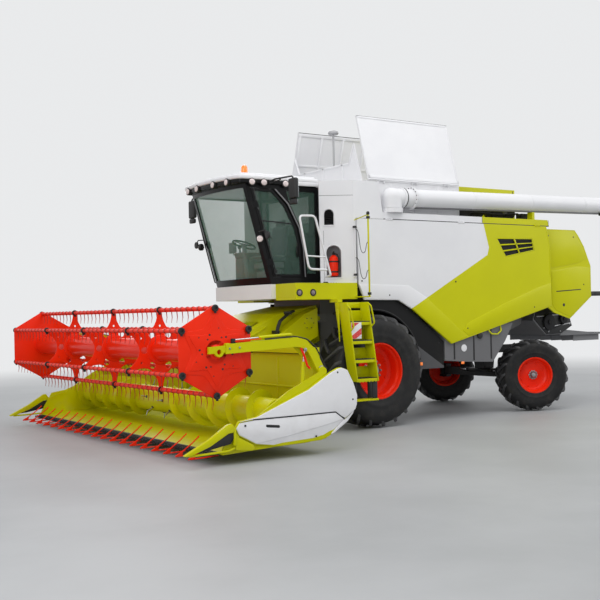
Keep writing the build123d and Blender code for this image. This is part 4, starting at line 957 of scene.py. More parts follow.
@dataclass
class Studio:
    """Camera at the photograph's viewpoint, soft lights and a pale floor."""

    place: Point = (-9787.0, -14047.0, 1844.0)
    yaw: float = math.radians(33.946)
    pitch: float = math.radians(-0.054)
    roll: float = math.radians(-1.256)
    focal_px: float = 996.941
    middle_px: Flat = (307.193, 312.488)
    picture_px: float = 600.0
    sensor_mm: float = 36.0
    floor_size: float = 60.0
    haze_from: float = 9.0
    haze_to: float = 24.0
    pale: Rgb = (0.86, 0.87, 0.88)
    pale_strength: float = 0.95
    sky: Rgb = (0.80, 0.81, 0.82)
    sky_strength: float = 0.72
    lamps: tuple[tuple[str, Point, Point, float, float], ...] = (
        ("roof_lamp", (-1.5, -5.0, 13.0), (0.0, 0.0, 1.5), 11.0, 760.0),
        ("front_lamp", (-15.0, -10.0, 7.0), (-1.0, 0.0, 1.6), 7.0, 620.0),
        ("tail_lamp", (13.0, -9.0, 8.0), (2.0, 0.0, 2.0), 7.0, 420.0),
        ("far_lamp", (4.0, 13.0, 8.0), (0.0, 0.0, 2.0), 7.0, 420.0))

    @staticmethod
    def hold(name: str, data: bpy.types.ID, place: Matrix) -> bpy.types.Object:
        """Puts data into the scene at a place.

        Args:
            name: Its name.
            data: What it shows.
            place: Where it stands.

        Returns:
            The new object.
        """
        holder = bpy.data.objects.new(name, data)
        holder.matrix_world = place
        bpy.context.scene.collection.objects.link(holder)
        return holder

    def camera(self) -> None:
        """Sets the camera from the fitted values."""
        view = Vector((math.sin(self.yaw) * math.cos(self.pitch), math.cos(self.yaw) * math.cos(self.pitch),
                       -math.sin(self.pitch)))
        level = Vector((math.cos(self.yaw), -math.sin(self.yaw), 0.0))
        steep = level.cross(view)
        right = level * math.cos(self.roll) + steep * math.sin(self.roll)
        up = steep * math.cos(self.roll) - level * math.sin(self.roll)
        lens = bpy.data.cameras.new("camera")
        lens.sensor_width = self.sensor_mm
        lens.lens = self.focal_px / self.picture_px * self.sensor_mm
        lens.shift_x = (self.picture_px / 2 - self.middle_px[0]) / self.picture_px
        lens.shift_y = (self.middle_px[1] - self.picture_px / 2) / self.picture_px
        lens.clip_end = 200.0
        turn = Matrix((right, up, -view)).transposed().to_4x4()
        bpy.context.scene.camera = self.hold("camera", lens, Matrix.Translation(framed(self.place)) @ turn)

    def lamp(self, name: str, place: Point, aim: Point, size: float, watts: float) -> None:
        """Adds one soft area lamp aimed at a point, in metres of the frame.

        Args:
            name: Its name.
            place: Where it stands.
            aim: What it points at.
            size: Length of its sides.
            watts: Its power.
        """
        light = bpy.data.lights.new(name, "AREA")
        light.shape = "SQUARE"
        light.size = size
        light.energy = watts
        turn = (Vector(aim) - Vector(place)).to_track_quat("-Z", "Y").to_matrix().to_4x4()
        self.hold(name, light, Matrix.Translation(Vector(place)) @ turn)

    def world(self) -> None:
        """Sets a plain pale world, brighter to the camera and in gloss than to the object."""
        world = bpy.data.worlds.new("studio_world")
        bpy.context.scene.world = world
        world.use_nodes = True
        tree = Tree(world.node_tree)
        tree.tree.nodes.clear()
        dim, bright = (tree.node("ShaderNodeBackground", inputs={"Color": colour, "Strength": strength})
                       for colour, strength in ((self.sky, self.sky_strength),
                                                (self.pale, self.pale_strength)))
        closing = world.node_tree.nodes.new("ShaderNodeOutputWorld").inputs["Surface"]
        tree.feed(closing, tree.node("ShaderNodeMixShader", inputs={0: tree.seen(), 1: dim, 2: bright}))

    def floor(self) -> None:
        """Lays a wide concrete floor that passes into the pale world far off."""
        ground = bmesh.new()
        bmesh.ops.create_grid(ground, x_segments=2, y_segments=2, size=self.floor_size)
        data = bpy.data.meshes.new("studio_floor")
        ground.to_mesh(data)
        ground.free()
        graph = Graph("floor_concrete")
        cloud = graph.noise(0.35, 6.0, 0.6)
        graph.surface(Base_Color=graph.blend(cloud.step(0.3, 0.7), (0.36, 0.37, 0.38), (0.43, 0.44, 0.45)),
                      Roughness=cloud * 0.2 + 0.45)
        away = graph.node("ShaderNodeVectorMath", {"operation": "LENGTH"}, {0: graph.place}, "Value")
        far = away.step(self.haze_from, self.haze_to) * graph.seen()
        glow = graph.node("ShaderNodeEmission", inputs={"Color": self.pale, "Strength": self.pale_strength})
        graph.feed(graph.closing,
                   graph.node("ShaderNodeMixShader", inputs={0: far, 1: graph.shaded, 2: glow}))
        data.materials.append(graph.material)
        self.hold("studio_floor", data, Matrix.Identity(4))

    def build(self) -> None:
        """Sets camera, world, floor and lamps."""
        self.camera()
        self.world()
        self.floor()
        for lamp in self.lamps:
            self.lamp(*lamp)
        bpy.context.scene.view_settings.view_transform = "Standard"


@dataclass
class SlackCords:
    """The two slack cords between the upright rail and the ladder's pole, in metres of the frame."""

    radius: float = 0.005
    lengths: Flat = (0.69, 0.65)
    upper: tuple[Point, ...] = (
        (-1.270, -1.502, 3.155), (-1.269, -1.540, 3.148), (-1.267, -1.572, 3.105), (-1.265, -1.590, 3.030),
        (-1.263, -1.600, 2.940), (-1.260, -1.612, 2.850), (-1.256, -1.640, 2.780), (-1.251, -1.690, 2.762),
        (-1.247, -1.728, 2.800), (-1.245, -1.742, 2.860), (-1.243, -1.752, 2.910), (-1.242, -1.786, 2.935))
    lower: tuple[Point, ...] = (
        (-1.270, -1.502, 2.702), (-1.269, -1.540, 2.695), (-1.267, -1.572, 2.655), (-1.265, -1.588, 2.590),
        (-1.263, -1.600, 2.510), (-1.260, -1.615, 2.430), (-1.256, -1.645, 2.372), (-1.251, -1.692, 2.358),
        (-1.247, -1.728, 2.392), (-1.245, -1.742, 2.440), (-1.243, -1.754, 2.480), (-1.242, -1.786, 2.500))

    def build(self) -> None:
        """Hangs both cords."""
        for name, route, length in zip(("cord_upper", "cord_lower"), (self.upper, self.lower), self.lengths):
            curve = round_line(name, route, self.radius, 4, 12)
            curve.materials.append(Finishes.hose.material())
            piece = bpy.data.objects.new(f"{name}_line", curve)
            bpy.context.scene.collection.objects.link(piece)
            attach(piece, "machine")
            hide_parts(name)
            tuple(route[0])
            log.info("%s hung", name)


@dataclass
class Dressing:
    """Finishes of the CAD parts that keep their own shape."""

    deck_seam_x: float = 2410.0
    lip_seam_x: float = -1512.0
    support_seam_x: float = 2500.0
    foot_z: Flat = (512.0, 770.0)
    belly_x: float = 1495.0
    belly_line: Outline = ((867.0, 1301.0), (1601.0, 836.0))

    @staticmethod
    def door_paint() -> Paint:
        """The side panels' paint: white above a slanted seam and lime below it.

        Returns:
            The paint.
        """
        corners = ((1090, 2060), (2490, 2790), (2530, 2920), (2410, 3330))
        cuts = tuple(Cut.edge(first, second) for first, second in zip(corners, corners[1:]))
        return Paint("door_two_tone", "white_paint", LIME, (Zone(WHITE, cuts),))

    def two_tone(self) -> None:
        """Dresses the panels that carry two colours."""
        dress(self.door_paint(), "side_door_left", "side_door_right")
        white_deck = Zone(WHITE, (Cut.before(self.deck_seam_x),))
        dress(Paint("deck_two_tone", "white_paint", LIME, (white_deck,)), "side_decks")
        white_lip = Zone(WHITE, (Cut.before(self.lip_seam_x),))
        dress(Paint("cab_base_two_tone", "lime_paint", LIME, (white_lip,)), "cab_base")
        lime_tail = Zone(LIME, (Cut((1, 0, 0), (self.support_seam_x, 0, 0)),))
        dress(Paint("support_two_tone", "white_paint", WHITE, (lime_tail,)), "tube_supports")
        foot = Zone(BLACK, (Cut((0, 0, -1), (0, 0, self.foot_z[1])), Cut((0, 0, 1), (0, 0, self.foot_z[0]))))
        dress(Paint("ladder_two_tone", "lime_paint", LIME, (foot,)), "ladder")
        front = Cut.before(self.belly_x)
        belly = (Zone(linear(84, 84, 86), (front,)), Zone(BLACK, (front, Cut.edge(*self.belly_line))))
        dress(Paint("belly_two_tone", "grey_paint", linear(112, 112, 114), belly, roughness=0.5),
              "lower_side_covers")

    def build(self) -> None:
        """Dresses every CAD part that stays."""
        self.two_tone()
        kit = Finishes
        dress(kit.white, "cab_roof", "service_tower", "grain_tank", "tank_front_flap", "tank_lid_left",
              "tank_lid_right", "unloading_tube", "header_ends", "handrails")
        dress(kit.lime, "platform", "rear_hood", "tail_door", "engine_hood", "feeder_house", "feeder_guard",
              "header_table", "reel_arms", "reel_sliders", "lift_barrels", "reel_lift_barrels",
              "intake_auger")
        dress(kit.red, "front_left_rim", "front_right_rim", "rear_left_rim", "rear_right_rim", "reel",
              "fire_extinguisher", "cutter_bar")
        dress(kit.grey, "straw_chopper", "threshing_body")
        dress(kit.frame_dark, "chassis_frame", "front_axle", "rear_axle", "rear_left_knuckle",
              "rear_right_knuckle")
        dress(kit.gloss_black, "cab_shell", "cab_door", "satellite_mast")
        dress(kit.black, "mirrors", "unloading_spout", "lamps")
        dress(kit.tyre, "front_left_tyre", "front_right_tyre", "rear_left_tyre", "rear_right_tyre")
        dress(kit.glass, "cab_glass", "cab_door_glass")
        dress(kit.seat, "cab_interior")
        dress(kit.hose, "cord_upper", "cord_lower")
        dress(kit.chrome, "lift_rods", "reel_lift_rods")
        dress(kit.iron, "engine")


@dataclass
class Tyre:
    """A farm tyre with slanted lugs, about the Y axis."""

    radius: float
    width: float
    rim_radius: float
    lugs: int
    lug_height: float
    lug_lead: float
    lug_width: float
    shoulder: float = 0.74
    tilt: float = math.radians(64.0)

    @property
    def crown(self) -> float:
        """Radius of the tread between the lugs."""
        return self.radius - self.lug_height

    def carcass(self) -> Form:
        """Builds the body of the tyre with its bulging walls and rim ribs.

        Returns:
            The form.
        """
        half = self.width / 2
        wall = self.radius - self.rim_radius
        crown, rim = self.crown, self.rim_radius
        outer = [(0, crown), (0.45, crown - 3), (0.74, crown - 14), (0.88, crown - 34)]
        outer += [(share, crown - wall * drop) for share, drop in
                  ((0.955, 0.16), (0.99, 0.30), (0.985, 0.46), (0.95, 0.58), (0.965, 0.62), (0.93, 0.68))]
        outer += [(0.90, rim + 22), (0.86, rim + 14), (0.84, rim + 1)]
        profile = [(r, share * half) for share, r in outer]
        form = Form()
        form.turned(profile + [(r, -height) for r, height in reversed(profile[1:])], steps=96)
        return form

    def lug(self, form: Form, hand: float) -> None:
        """Adds one lug from the middle of the tread over the shoulder.

        Args:
            form: Where it goes.
            hand: 1 for one side of the tread and -1 for the other.
        """
        part = bmesh.new()
        bmesh.ops.create_cube(part, size=1.0)
        along_edges = [e for e in part.edges if abs(e.verts[0].co.x - e.verts[1].co.x) > 0.5]
        bmesh.ops.subdivide_edges(part, edges=along_edges, cuts=7, use_grid_fill=True)
        ribs = [e for e in part.edges if min(v.co.z for v in e.verts) > 0.4
                and len({v.co.y > 0 for v in e.verts}) == 1 and abs(e.verts[0].co.x - e.verts[1].co.x) > 0.01]
        bmesh.ops.bevel(part, geom=ribs, offset=0.10, offset_type="OFFSET", segments=2, profile=0.5,
                        affect="EDGES", clamp_overlap=True, material=-1)
        for vert in part.verts:
            along, across, rise = max(0.0, vert.co.x + 0.5), vert.co.y, vert.co.z + 0.5
            flat = min(along, self.shoulder)
            wrap = max(0.0, (along - self.shoulder) / (1 - self.shoulder))
            lift = (rise * (1.0 - 0.30 * wrap) - 0.35) * self.lug_height * 1.52
            sink = wrap * wrap * (self.radius - self.rim_radius) * 0.27
            base = self.crown - 3 - 12 * flat / self.shoulder - sink
            side_way = self.width / 2 * (-0.06 + 1.10 * flat + 0.165 * math.sin(wrap * math.pi / 2))
            wide = self.lug_width * (0.78 + 0.42 * along) * (1.0 - 0.16 * rise)
            radius = base + lift * math.cos(self.tilt * wrap)
            out = side_way + lift * math.sin(self.tilt * wrap) * 0.45
            turn = (self.lug_lead * along ** 1.15 + across * wide) / self.radius
            vert.co = Vector((radius * math.sin(turn), hand * out, radius * math.cos(turn)))
        form.take(part)

    def tread(self) -> Form:
        """Builds both rows of lugs.

        Returns:
            The form.
        """
        form = Form()
        for hand, start in ((1.0, 0.0), (-1.0, math.pi / self.lugs)):
            form.ring_of(self.lugs, ORIGIN, lambda f, h=hand: self.lug(f, h), start)
        return form


@dataclass
class Rim:
    """A painted rim about the Y axis, its outer face towards -Y."""

    radius: float
    width: float
    disc_y: float
    hub_radius: float
    hub_inner: float
    bolts: int
    bolt_circle: float
    cap_depth: float
    clamps: int = 8

    def painted(self) -> Form:
        """Builds the barrel, the disc and the clamp bolts between them.

        Returns:
            The form.
        """
        half = self.width / 2 * 0.84
        lip, inner, y, hub = self.radius, self.radius - 16, self.disc_y, self.hub_radius
        deep = inner - 26
        form = Form()
        form.turned([(inner + 4, -half - 6), (lip + 13, -half - 6), (lip + 15, -half + 4),
                     (lip + 1, -half + 10), (lip + 1, half - 10), (lip + 15, half - 4), (lip + 13, half + 6),
                     (inner + 4, half + 6), (inner, half - 18), (inner, half - 60), (deep, half - 82),
                     (deep, y + 40), (deep, y), (deep, -half + 86), (inner, -half + 58),
                     (inner, -half + 16)], steps=72, edge=2.5)
        form.turned([(hub * 0.72, y - 34), (hub * 0.95, y - 34), (hub * 1.10, y - 4), (deep * 0.72, y + 18),
                     (deep * 0.86, y + 18), (deep + 3, y - 12), (deep + 3, y + 6), (deep * 0.86, y + 34),
                     (deep * 0.72, y + 34), (hub * 1.04, y + 14), (hub * 0.9, self.hub_inner),
                     (0, self.hub_inner), (0, y - 34)], steps=72, edge=3)
        ring = (self.radius - 42) * 0.79
        form.ring_of(self.clamps, ORIGIN, lambda f: f.studs(((ring, 0),), y + 20, y + 2, 15, 6, 1.5),
                     math.pi / self.clamps)
        return form

    def steel(self) -> Form:
        """Builds the hub cap and the wheel bolts.

        Returns:
            The form.
        """
        face, hub, y = self.disc_y - 34, self.hub_radius, self.disc_y
        form = Form()
        cap = y - self.cap_depth
        form.turned([(0, cap), (hub * 0.44, cap), (hub * 0.60, cap + 16), (hub * 0.60, y - 30), (0, y - 30)],
                    steps=40, edge=2.5)

        def bolt(into: Form) -> None:
            """One hexagon nut on its stud.

            Args:
                into: Where it goes.
            """
            for start, end, radius, sides, edge in (
                    (1, -6, 19, 20, 0), (-5, -21, 14.5, 6, 1.5), (-20, -31, 8, 12, 1)):
                into.studs(((self.bolt_circle, 0),), face + start, face + end, radius, sides, edge)
        form.ring_of(self.bolts, ORIGIN, bolt)
        return form


@dataclass
class Wheels:
    """Both front wheels and both steered rear wheels."""

    front_tyre: Tyre = field(default_factory=lambda: Tyre(905.0, 650.0, 437.0, 21, 52.0, 300.0, 62.0))
    rear_tyre: Tyre = field(default_factory=lambda: Tyre(645.0, 500.0, 312.0, 19, 36.0, 220.0, 48.0))
    front_rim: Rim = field(default_factory=lambda: Rim(437.0, 650.0, -30.0, 190.0, 225.0, 12, 162.0, 96.0))
    rear_rim: Rim = field(default_factory=lambda: Rim(312.0, 500.0, -60.0, 84.0, 58.0, 10, 67.0, 78.0))
    front_y: float = 1280.0
    rear_x: float = 3750.0
    kingpin_y: float = 1160.0
    knuckle: float = 120.0
    steer: float = math.radians(-27.0)

    def place(self, end: str, side: Side) -> Matrix:
        """Where a wheel's middle stands, and how it is turned.

        Args:
            end: Either front or rear.
            side: The machine's side.

        Returns:
            The transform.
        """
        if end == "front":
            return Matrix.Translation((0, side.value * self.front_y, self.front_tyre.radius))
        kingpin = Matrix.Translation((self.rear_x, side.value * self.kingpin_y, self.rear_tyre.radius))
        knuckle = Matrix.Translation((0, side.value * self.knuckle, 0))
        return kingpin @ Matrix.Rotation(self.steer, 4, "Z") @ knuckle

    def build(self) -> None:
        """Builds all four wheels."""
        for end, tyre, rim in (("front", self.front_tyre, self.front_rim),
                               ("rear", self.rear_tyre, self.rear_rim)):
            for side in Side:
                wheel = f"{end}_{side.word}"
                for form, name, finish, node in (
                        (tyre.carcass(), "tyre_body", Finishes.tyre, f"{wheel}_tyre"),
                        (tyre.tread(), "tyre_lugs", Finishes.tread, ""),
                        (rim.painted(), "painted_rim", Finishes.red, f"{wheel}_rim"),
                        (rim.steel(), "wheel_bolts", Finishes.steel, "")):
                    form.on(side).moved(self.place(end, side))
                    form.piece(f"{wheel}_{name}", finish, f"{wheel}_wheel", node)


@dataclass
class Reel:
    """The bat reel: embossed end plates, spiders, tube, bats and hanging tines."""

    x: float = -3840.0
    z: float = 1390.0
    bats: int = 6
    bat_circle: float = 545.0
    half_width: float = 3160.0
    tube_radius: float = 150.0
    spiders: tuple[float, ...] = (-1590.0, 0.0, 1590.0)
    tines: int = 40
    tine_length: float = 178.0
    star: Outline = ((0, 500), (6, 452), (12, 404), (20, 360), (30, 338), (40, 360), (48, 404), (54, 452))
    inner_star: Outline = ((0, 430), (9, 350), (18, 285), (30, 256), (42, 285), (51, 350))
    arms: Outline = ((-3.4, 560), (3.4, 560), (4.4, 470), (8, 400), (15, 342), (22, 318), (30, 310),
                     (38, 318), (45, 342), (52, 400), (55.6, 470))
    plate_holes: tuple[Point, ...] = ((24, 196, 11), (38, 232, 14), (8, 300, 8))

    @property
    def axis(self) -> Point:
        """A point on the shaft."""
        return self.x, 0.0, self.z

    def around(self, radius: float, degrees: float = 0.0) -> list[Flat]:
        """The points (x, z) at one place of each bat's share of the circle, from its angle onwards."""
        turns = (math.radians(60.0 * k + degrees) for k in range(self.bats))
        return [(self.x + radius * math.sin(turn), self.z + radius * math.cos(turn)) for turn in turns]

    def rosette(self, share: Outline) -> list[Flat]:
        """An outline that repeats its (degrees, radius) points for each bat."""
        rings = [self.around(radius, degrees) for degrees, radius in share]
        return [ring[k] for k in range(self.bats) for ring in rings]

    def end_plates(self) -> Form:
        """Both hexagonal end plates with their embossed stars.

        Returns:
            The form.
        """
        form = Form()
        y = -self.half_width
        form.side(self.around(588), y, y + 12, edge=4)
        form.side(self.rosette(self.star), y + 2, y - 9, edge=6)
        form.side(self.rosette(self.inner_star), y - 8, y - 17, edge=5)
        form.turned([(0, y - 34), (78, y - 34), (92, y - 17), (150, y - 17), (158, y - 6), (0, y - 6)],
                    self.axis, steps=36, edge=3)
        for x, z in self.around(560):
            form.block((x - 22, y - 4, z - 22), (x + 22, y + 40, z + 22), edge=6)
        return form.both_sides()

    def spider(self, y: float) -> None:
        """Builds one pressed spider plate with six arms and round openings.

        Args:
            y: Its station.
        """
        form, holes = Form(), Form()
        form.side(self.rosette(self.arms), y - 5, y + 5, edge=2)
        for large, small in zip(self.around(238, 30), self.around(330)):
            holes.studs((large,), y - 40, y + 40, 46)
            holes.studs((small,), y - 40, y + 40, 16, 14)
        carve(form.piece(f"reel_spider_{round(y - self.spiders[0])}", Finishes.red, "reel_drum"), holes)

    def tube_and_bats(self) -> Form:
        """The tube with its flanges and the bats.

        Returns:
            The form.
        """
        form = Form()
        wide, neck, end = self.tube_radius, self.tube_radius - 14, self.half_width
        stations = (-end, *self.spiders, end)
        for y0, y1 in zip(stations, stations[1:]):
            form.turned([(0, y0 + 8), (neck, y0 + 8), (neck, y0 + 22), (wide, y0 + 46), (wide, y1 - 46),
                         (neck, y1 - 22), (neck, y1 - 8), (0, y1 - 8)], self.axis, steps=40, edge=3)
        for y in self.spiders:
            for flip in (-1, 1):
                form.turned([(60, y + flip * 6), (205, y + flip * 6), (196, y + flip * 14),
                             (150, y + flip * 20), (60, y + flip * 20)], self.axis, steps=40, edge=2)

        def bat(into: Form) -> None:
            """One bat tube with its flattened back.

            Args:
                into: Where it goes.
            """
            x, z = self.around(self.bat_circle)[0]
            into.rod((x, 10 - end, z), (x, end - 10, z), 25, sides=16)
            into.block((x - 9, 60 - end, z - 33), (x + 9, end - 60, z - 20), edge=3)
        form.ring_of(self.bats, self.axis, bat)
        return form

    def hanging_tines(self) -> Form:
        """All tines with their clips; each hangs straight down from its bat.

        Returns:
            The form.
        """
        form = Form()
        pitch = (2 * self.half_width - 200) / (self.tines - 1)
        y = 100 - self.half_width
        for x, z in self.around(self.bat_circle):
            knee = z - self.tine_length * 0.6

            def tine(into: Form) -> None:
                """One tine with its clip round the bat.

                Args:
                    into: Where it goes.
                """
                into.rod((x, y - 11, z), (x, y + 11, z), 32, sides=10)
                into.rod((x, y, z - 24), (x + 8, y, knee), 7.5, tip=5.5, sides=6)
                into.rod((x + 8, y, knee + 2), (x - 4, y, z - self.tine_length), 5.5, tip=2.5, sides=6)
            form.row_of(self.tines, (0, pitch, 0), tine)
        return form

    def bearings(self) -> Form:
        """Black bearings of the bats at every plate, and the cranks at the ends.

        Returns:
            The form.
        """
        form = Form()
        for y in (-self.half_width - 16, *self.spiders, self.half_width + 16):
            out = math.copysign(1.0, y)
            for x, z in self.around(self.bat_circle):
                form.turned([(20, y - 14), (42, y - 14), (46, y - 6), (46, y + 6), (42, y + 14),
                             (20, y + 14)], (x, 0, z), steps=24, edge=2)
                if y in self.spiders:
                    form.block((x - 17, y - 13, z - 64), (x + 17, y + 13, z - 34), edge=4)
                else:
                    form.studs(((x, z),), y - out * 8, y + out * 6, 19, 6, 2)
                    form.block((x - 16, y - 6, z - 62), (x + 16, y + 6, z - 30), edge=4)
        return form

    def holes(self) -> Form:
        """Black discs on the end plates, painted as the shade inside their small holes.

        Returns:
            The form.
        """
        form = Form()
        y = -self.half_width - 17.6
        for degrees, radius, size in self.plate_holes:
            form.studs(self.around(radius, degrees), y, y + 3, size, 14)
        return form.both_sides()

    def build(self) -> None:
        """Builds the reel."""
        self.tube_and_bats().piece("reel_tube_and_bats", Finishes.red, "reel_drum", "reel")
        self.end_plates().piece("reel_end_plates", Finishes.red, "reel_drum")
        for y in self.spiders:
            self.spider(y)
        self.hanging_tines().piece("reel_tines", Finishes.tine, "reel_drum")
        self.bearings().piece("reel_bearings", Finishes.black, "reel_drum")
        self.holes().piece("reel_plate_holes", Finishes.black, "reel_drum")


@dataclass
class ReelArms:
    """Fittings on the reel's arms: fore-and-aft cylinders, pipes, latch and pivot bolts."""

    outer_y: float = -3272.0
    inner_y: float = -3206.0
    front: Flat = (-3750.0, 1487.0)
    slope: float = 0.05066
    barrel_x: Flat = (-3260.0, -2780.0)
    bolts: tuple[Point, ...] = ((-2330, 1120, 38), (-2575, 1375, 24), (-3700, 1430, 13), (-3560, 1437, 13))
    brace: Outline = ((-2730, 1420), (-2560, 1400), (-2440, 1180), (-2420, 1110), (-2500, 1180),
                      (-2640, 1330))

    def above(self, x: float, y: float, height: float) -> Point:
        """A point over the arm's top edge at a station."""
        return x, y, self.front[1] + (x - self.front[0]) * self.slope + height

    def build(self) -> None:
        """Builds the fittings of both arms."""
        middle, outer, on = (self.outer_y + self.inner_y) / 2, self.outer_y, self.above
        barrel, rod, red, dark, bolts, brace = (Form() for _ in range(6))
        start, end = self.barrel_x
        barrel.rod(on(start, middle, 40), on(end, middle, 40), 22, edge=3)
        low, high = on(end, middle - 12, -6), on(end, middle + 12, 58)
        barrel.block((end - 20, *low[1:]), (end + 24, *high[1:]), edge=5)
        barrel.block(on(-3742, middle - 30, -4), on(-3700, middle + 30, 8), edge=4)
        rod.rod(on(-3620, middle, 40), (start + 6, *on(start, middle, 40)[1:]), 10, sides=16)
        red.rod(on(-3618, middle - 26, 22), on(-3240, middle - 26, 24), 7, sides=12)
        red.pipe([(-2650, outer - 10, 1395), (-2600, outer - 14, 1290), (-2560, outer - 14, 1165),
                  (-2520, outer - 10, 1130)], 15, 30)
        dark.block(on(-3660, middle - 20, -2), on(-3606, middle + 20, 58), edge=6)
        dark.pipe([on(-3180, outer + 12, 14), on(-2720, outer + 12, 12), (-2540, outer + 12, 1512),
                   (-2395, outer + 12, 1392), (-2268, outer + 12, 1160)], 9, 90)
        for x, z, size in self.bolts:
            bolts.studs(((x, z),), outer + 2, outer - 7, size, 24, 2)
            bolts.studs(((x, z),), outer - 6, outer - 18, size * 0.62, 6, 2)
        brace.side(self.brace, self.inner_y + 1, self.inner_y + 9, edge=2)
        hand_out("reel_frame", (barrel, "arm_cylinder_barrels", Finishes.lime),
                 (rod, "arm_cylinder_rods", Finishes.chrome), (red, "arm_latches", Finishes.red),
                 (dark, "arm_pipes", Finishes.black), (bolts, "arm_bolts", Finishes.steel),
                 (brace, "arm_braces", Finishes.lime))


@dataclass
class Auger:
    """The table auger: a lime tube, its winding flights and steel fingers."""

    x: float = -3000.0
    z: float = 560.0
    tube_radius: float = 200.0
    flight_radius: float = 298.0
    flight_half: float = 5.0
    pitch: float = 560.0
    outer_y: float = 3230.0
    inner_y: float = 620.0
    steps: int = 30
    bands: Flat = (-1400.0, 1400.0)
    finger_rows: int = 9
    finger_pitch: float = 140.0
    finger_turn: float = math.radians(47.0)
    finger_reach: float = 292.0

    def flight(self, form: Form, hand: int) -> None:
        """Adds the winding flight of one side, from the end inwards.

        Args:
            form: Where it goes.
            hand: -1 for the machine's left side and 1 for its right.
        """
        part = bmesh.new()
        section = collar(self.tube_radius - 6, self.flight_radius, -self.flight_half, self.flight_half)
        face = part.faces.new([part.verts.new((r, 0.0, h)) for r, h in section])
        run = self.outer_y - self.inner_y
        steps = round(run / self.pitch * self.steps)
        bmesh.ops.spin(part, geom=[face], cent=ORIGIN, axis=(0.0, 0.0, hand), steps=steps,
                       angle=math.tau * run / self.pitch, dvec=(0.0, 0.0, -run / steps))
        end = Matrix.Translation((self.x, hand * self.outer_y, self.z))
        form.take(part, place=end @ Matrix.Rotation(-hand * math.pi / 2, 4, "X"))

    def build(self) -> None:
        """Builds the auger."""
        tube, fingers, guides = Form(), Form(), Form()
        wide, axis, ends = self.tube_radius, (self.x, 0, self.z), self.outer_y + 26
        tube.turned([(0, -ends), (wide - 6, -ends), (wide, 6 - ends), (wide, ends - 6), (wide - 6, ends),
                     (0, ends)], axis, steps=64)
        for side in Side:
            self.flight(tube, side.value)
        for y in self.bands:
            tube.turned(collar(wide - 10, wide + 4, y - 30, y + 30), axis, steps=64)
        tube.piece("auger_tube_and_flights", Finishes.lime, "table_auger", "intake_auger")
        for row in range(self.finger_rows):
            foot = Vector((self.x, self.finger_pitch * (row - (self.finger_rows - 1) / 2), self.z))
            for half_turn in (0.0, math.pi):
                turn = self.finger_turn * row + half_turn
                out = Vector((math.sin(turn), 0.0, math.cos(turn)))
                fingers.rod(foot + out * (wide - 14), foot + out * self.finger_reach, 8, tip=6.5, sides=12)
                guides.rod(foot + out * (wide - 8), foot + out * (wide + 9), 27, tip=20, sides=16)
        fingers.piece("auger_fingers", Finishes.steel, "table_auger")
        guides.piece("auger_finger_guides", Finishes.black, "table_auger")


@dataclass
class Knife:
    """Cutter bar: black bar with fingers, steel sections and red crop lifters."""

    tip_x: float = -3890.0
    z: float = 135.0
    half: float = 3230.0
    pitch: float = 76.2
    lifters: int = 19
    lifter_half: float = 3130.0
    finger: Outline = ((-108, 0), (-74, -11), (10, -17), (70, -30), (70, 30), (10, 17), (-74, 11))
    lip: Outline = ((-100, 0), (-60, -8), (22, -10), (22, 10), (-60, 8))
    blade: Outline = ((-52, -7), (30, -34), (30, 34), (-52, 7))
    runner: Outline = ((60, 109), (-120, 95), (-300, 92), (-346, 96))
    arm: Outline = ((-340, 96), (-240, 150), (-110, 236), (-6, 322))
    nose: Outline = ((-346, 84), (-250, 92), (-236, 150), (-262, 148))

    def flat(self, form: Form, outline: Outline, y: float, low: float, high: float,
             edge: float = 0.0) -> None:
        """Adds an (x, y) outline drawn from the tips, at a station and between heights over the knife."""
        form.plan([(self.tip_x + x, y + across) for x, across in outline], self.z + low, self.z + high, edge)

    def build(self) -> None:
        """Builds the cutter bar's dressing."""
        count = int(2 * self.half / self.pitch)
        start = -count * self.pitch / 2
        tip, z, half = self.tip_x, self.z, self.half
        fingers, sections, lifters = Form(), Form(), Form()

        def finger(into: Form) -> None:
            """One forged finger with its lip.

            Args:
                into: Where it goes.
            """
            self.flat(into, self.finger, start, -14, 5, 3.5)
            self.flat(into, self.lip, start, 12, 20, 2.5)
            into.block((tip - 100, start - 6, z + 2), (tip - 84, start + 6, z + 16), edge=2)

        def section(into: Form) -> None:
            """One steel knife section with its rivets.

            Args:
                into: Where it goes.
            """
            y = start + self.pitch / 2
            self.flat(into, self.blade, y, 6, 9.5)
            for rivet in (y - 18, y + 18):
                into.rod((tip + 12, rivet, z + 9), (tip + 12, rivet, z + 12.5), 6, sides=10)

        def lifter(into: Form) -> None:
            """One crop lifter: a runner below and a sprung arm that rises behind it.

            Args:
                into: Where it goes.
            """
            y = -self.lifter_half
            for line in (self.runner, self.arm):
                into.pipe([(tip + x, y, height) for x, height in line], 9, 60, 2)
            into.side([(tip + x, height) for x, height in self.nose], y - 8, y + 8, edge=2.5)
            into.block((tip + 20, y - 20, z - 34), (tip + 66, y + 20, z - 16), edge=3)
        fingers.row_of(count + 1, (0, self.pitch, 0), finger)
        fingers.block((tip + 22, -half - 30, z + 4), (tip + 62, half + 30, z + 19), edge=3)
        sections.row_of(count, (0, self.pitch, 0), section)
        fingers.piece("knife_fingers", Finishes.black, "header")
        sections.piece("knife_sections", Finishes.steel, "header")
        lifters.row_of(self.lifters, (0, 2 * self.lifter_half / (self.lifters - 1), 0), lifter)
        lifters.piece("crop_lifters", Finishes.red, "header", "cutter_bar")


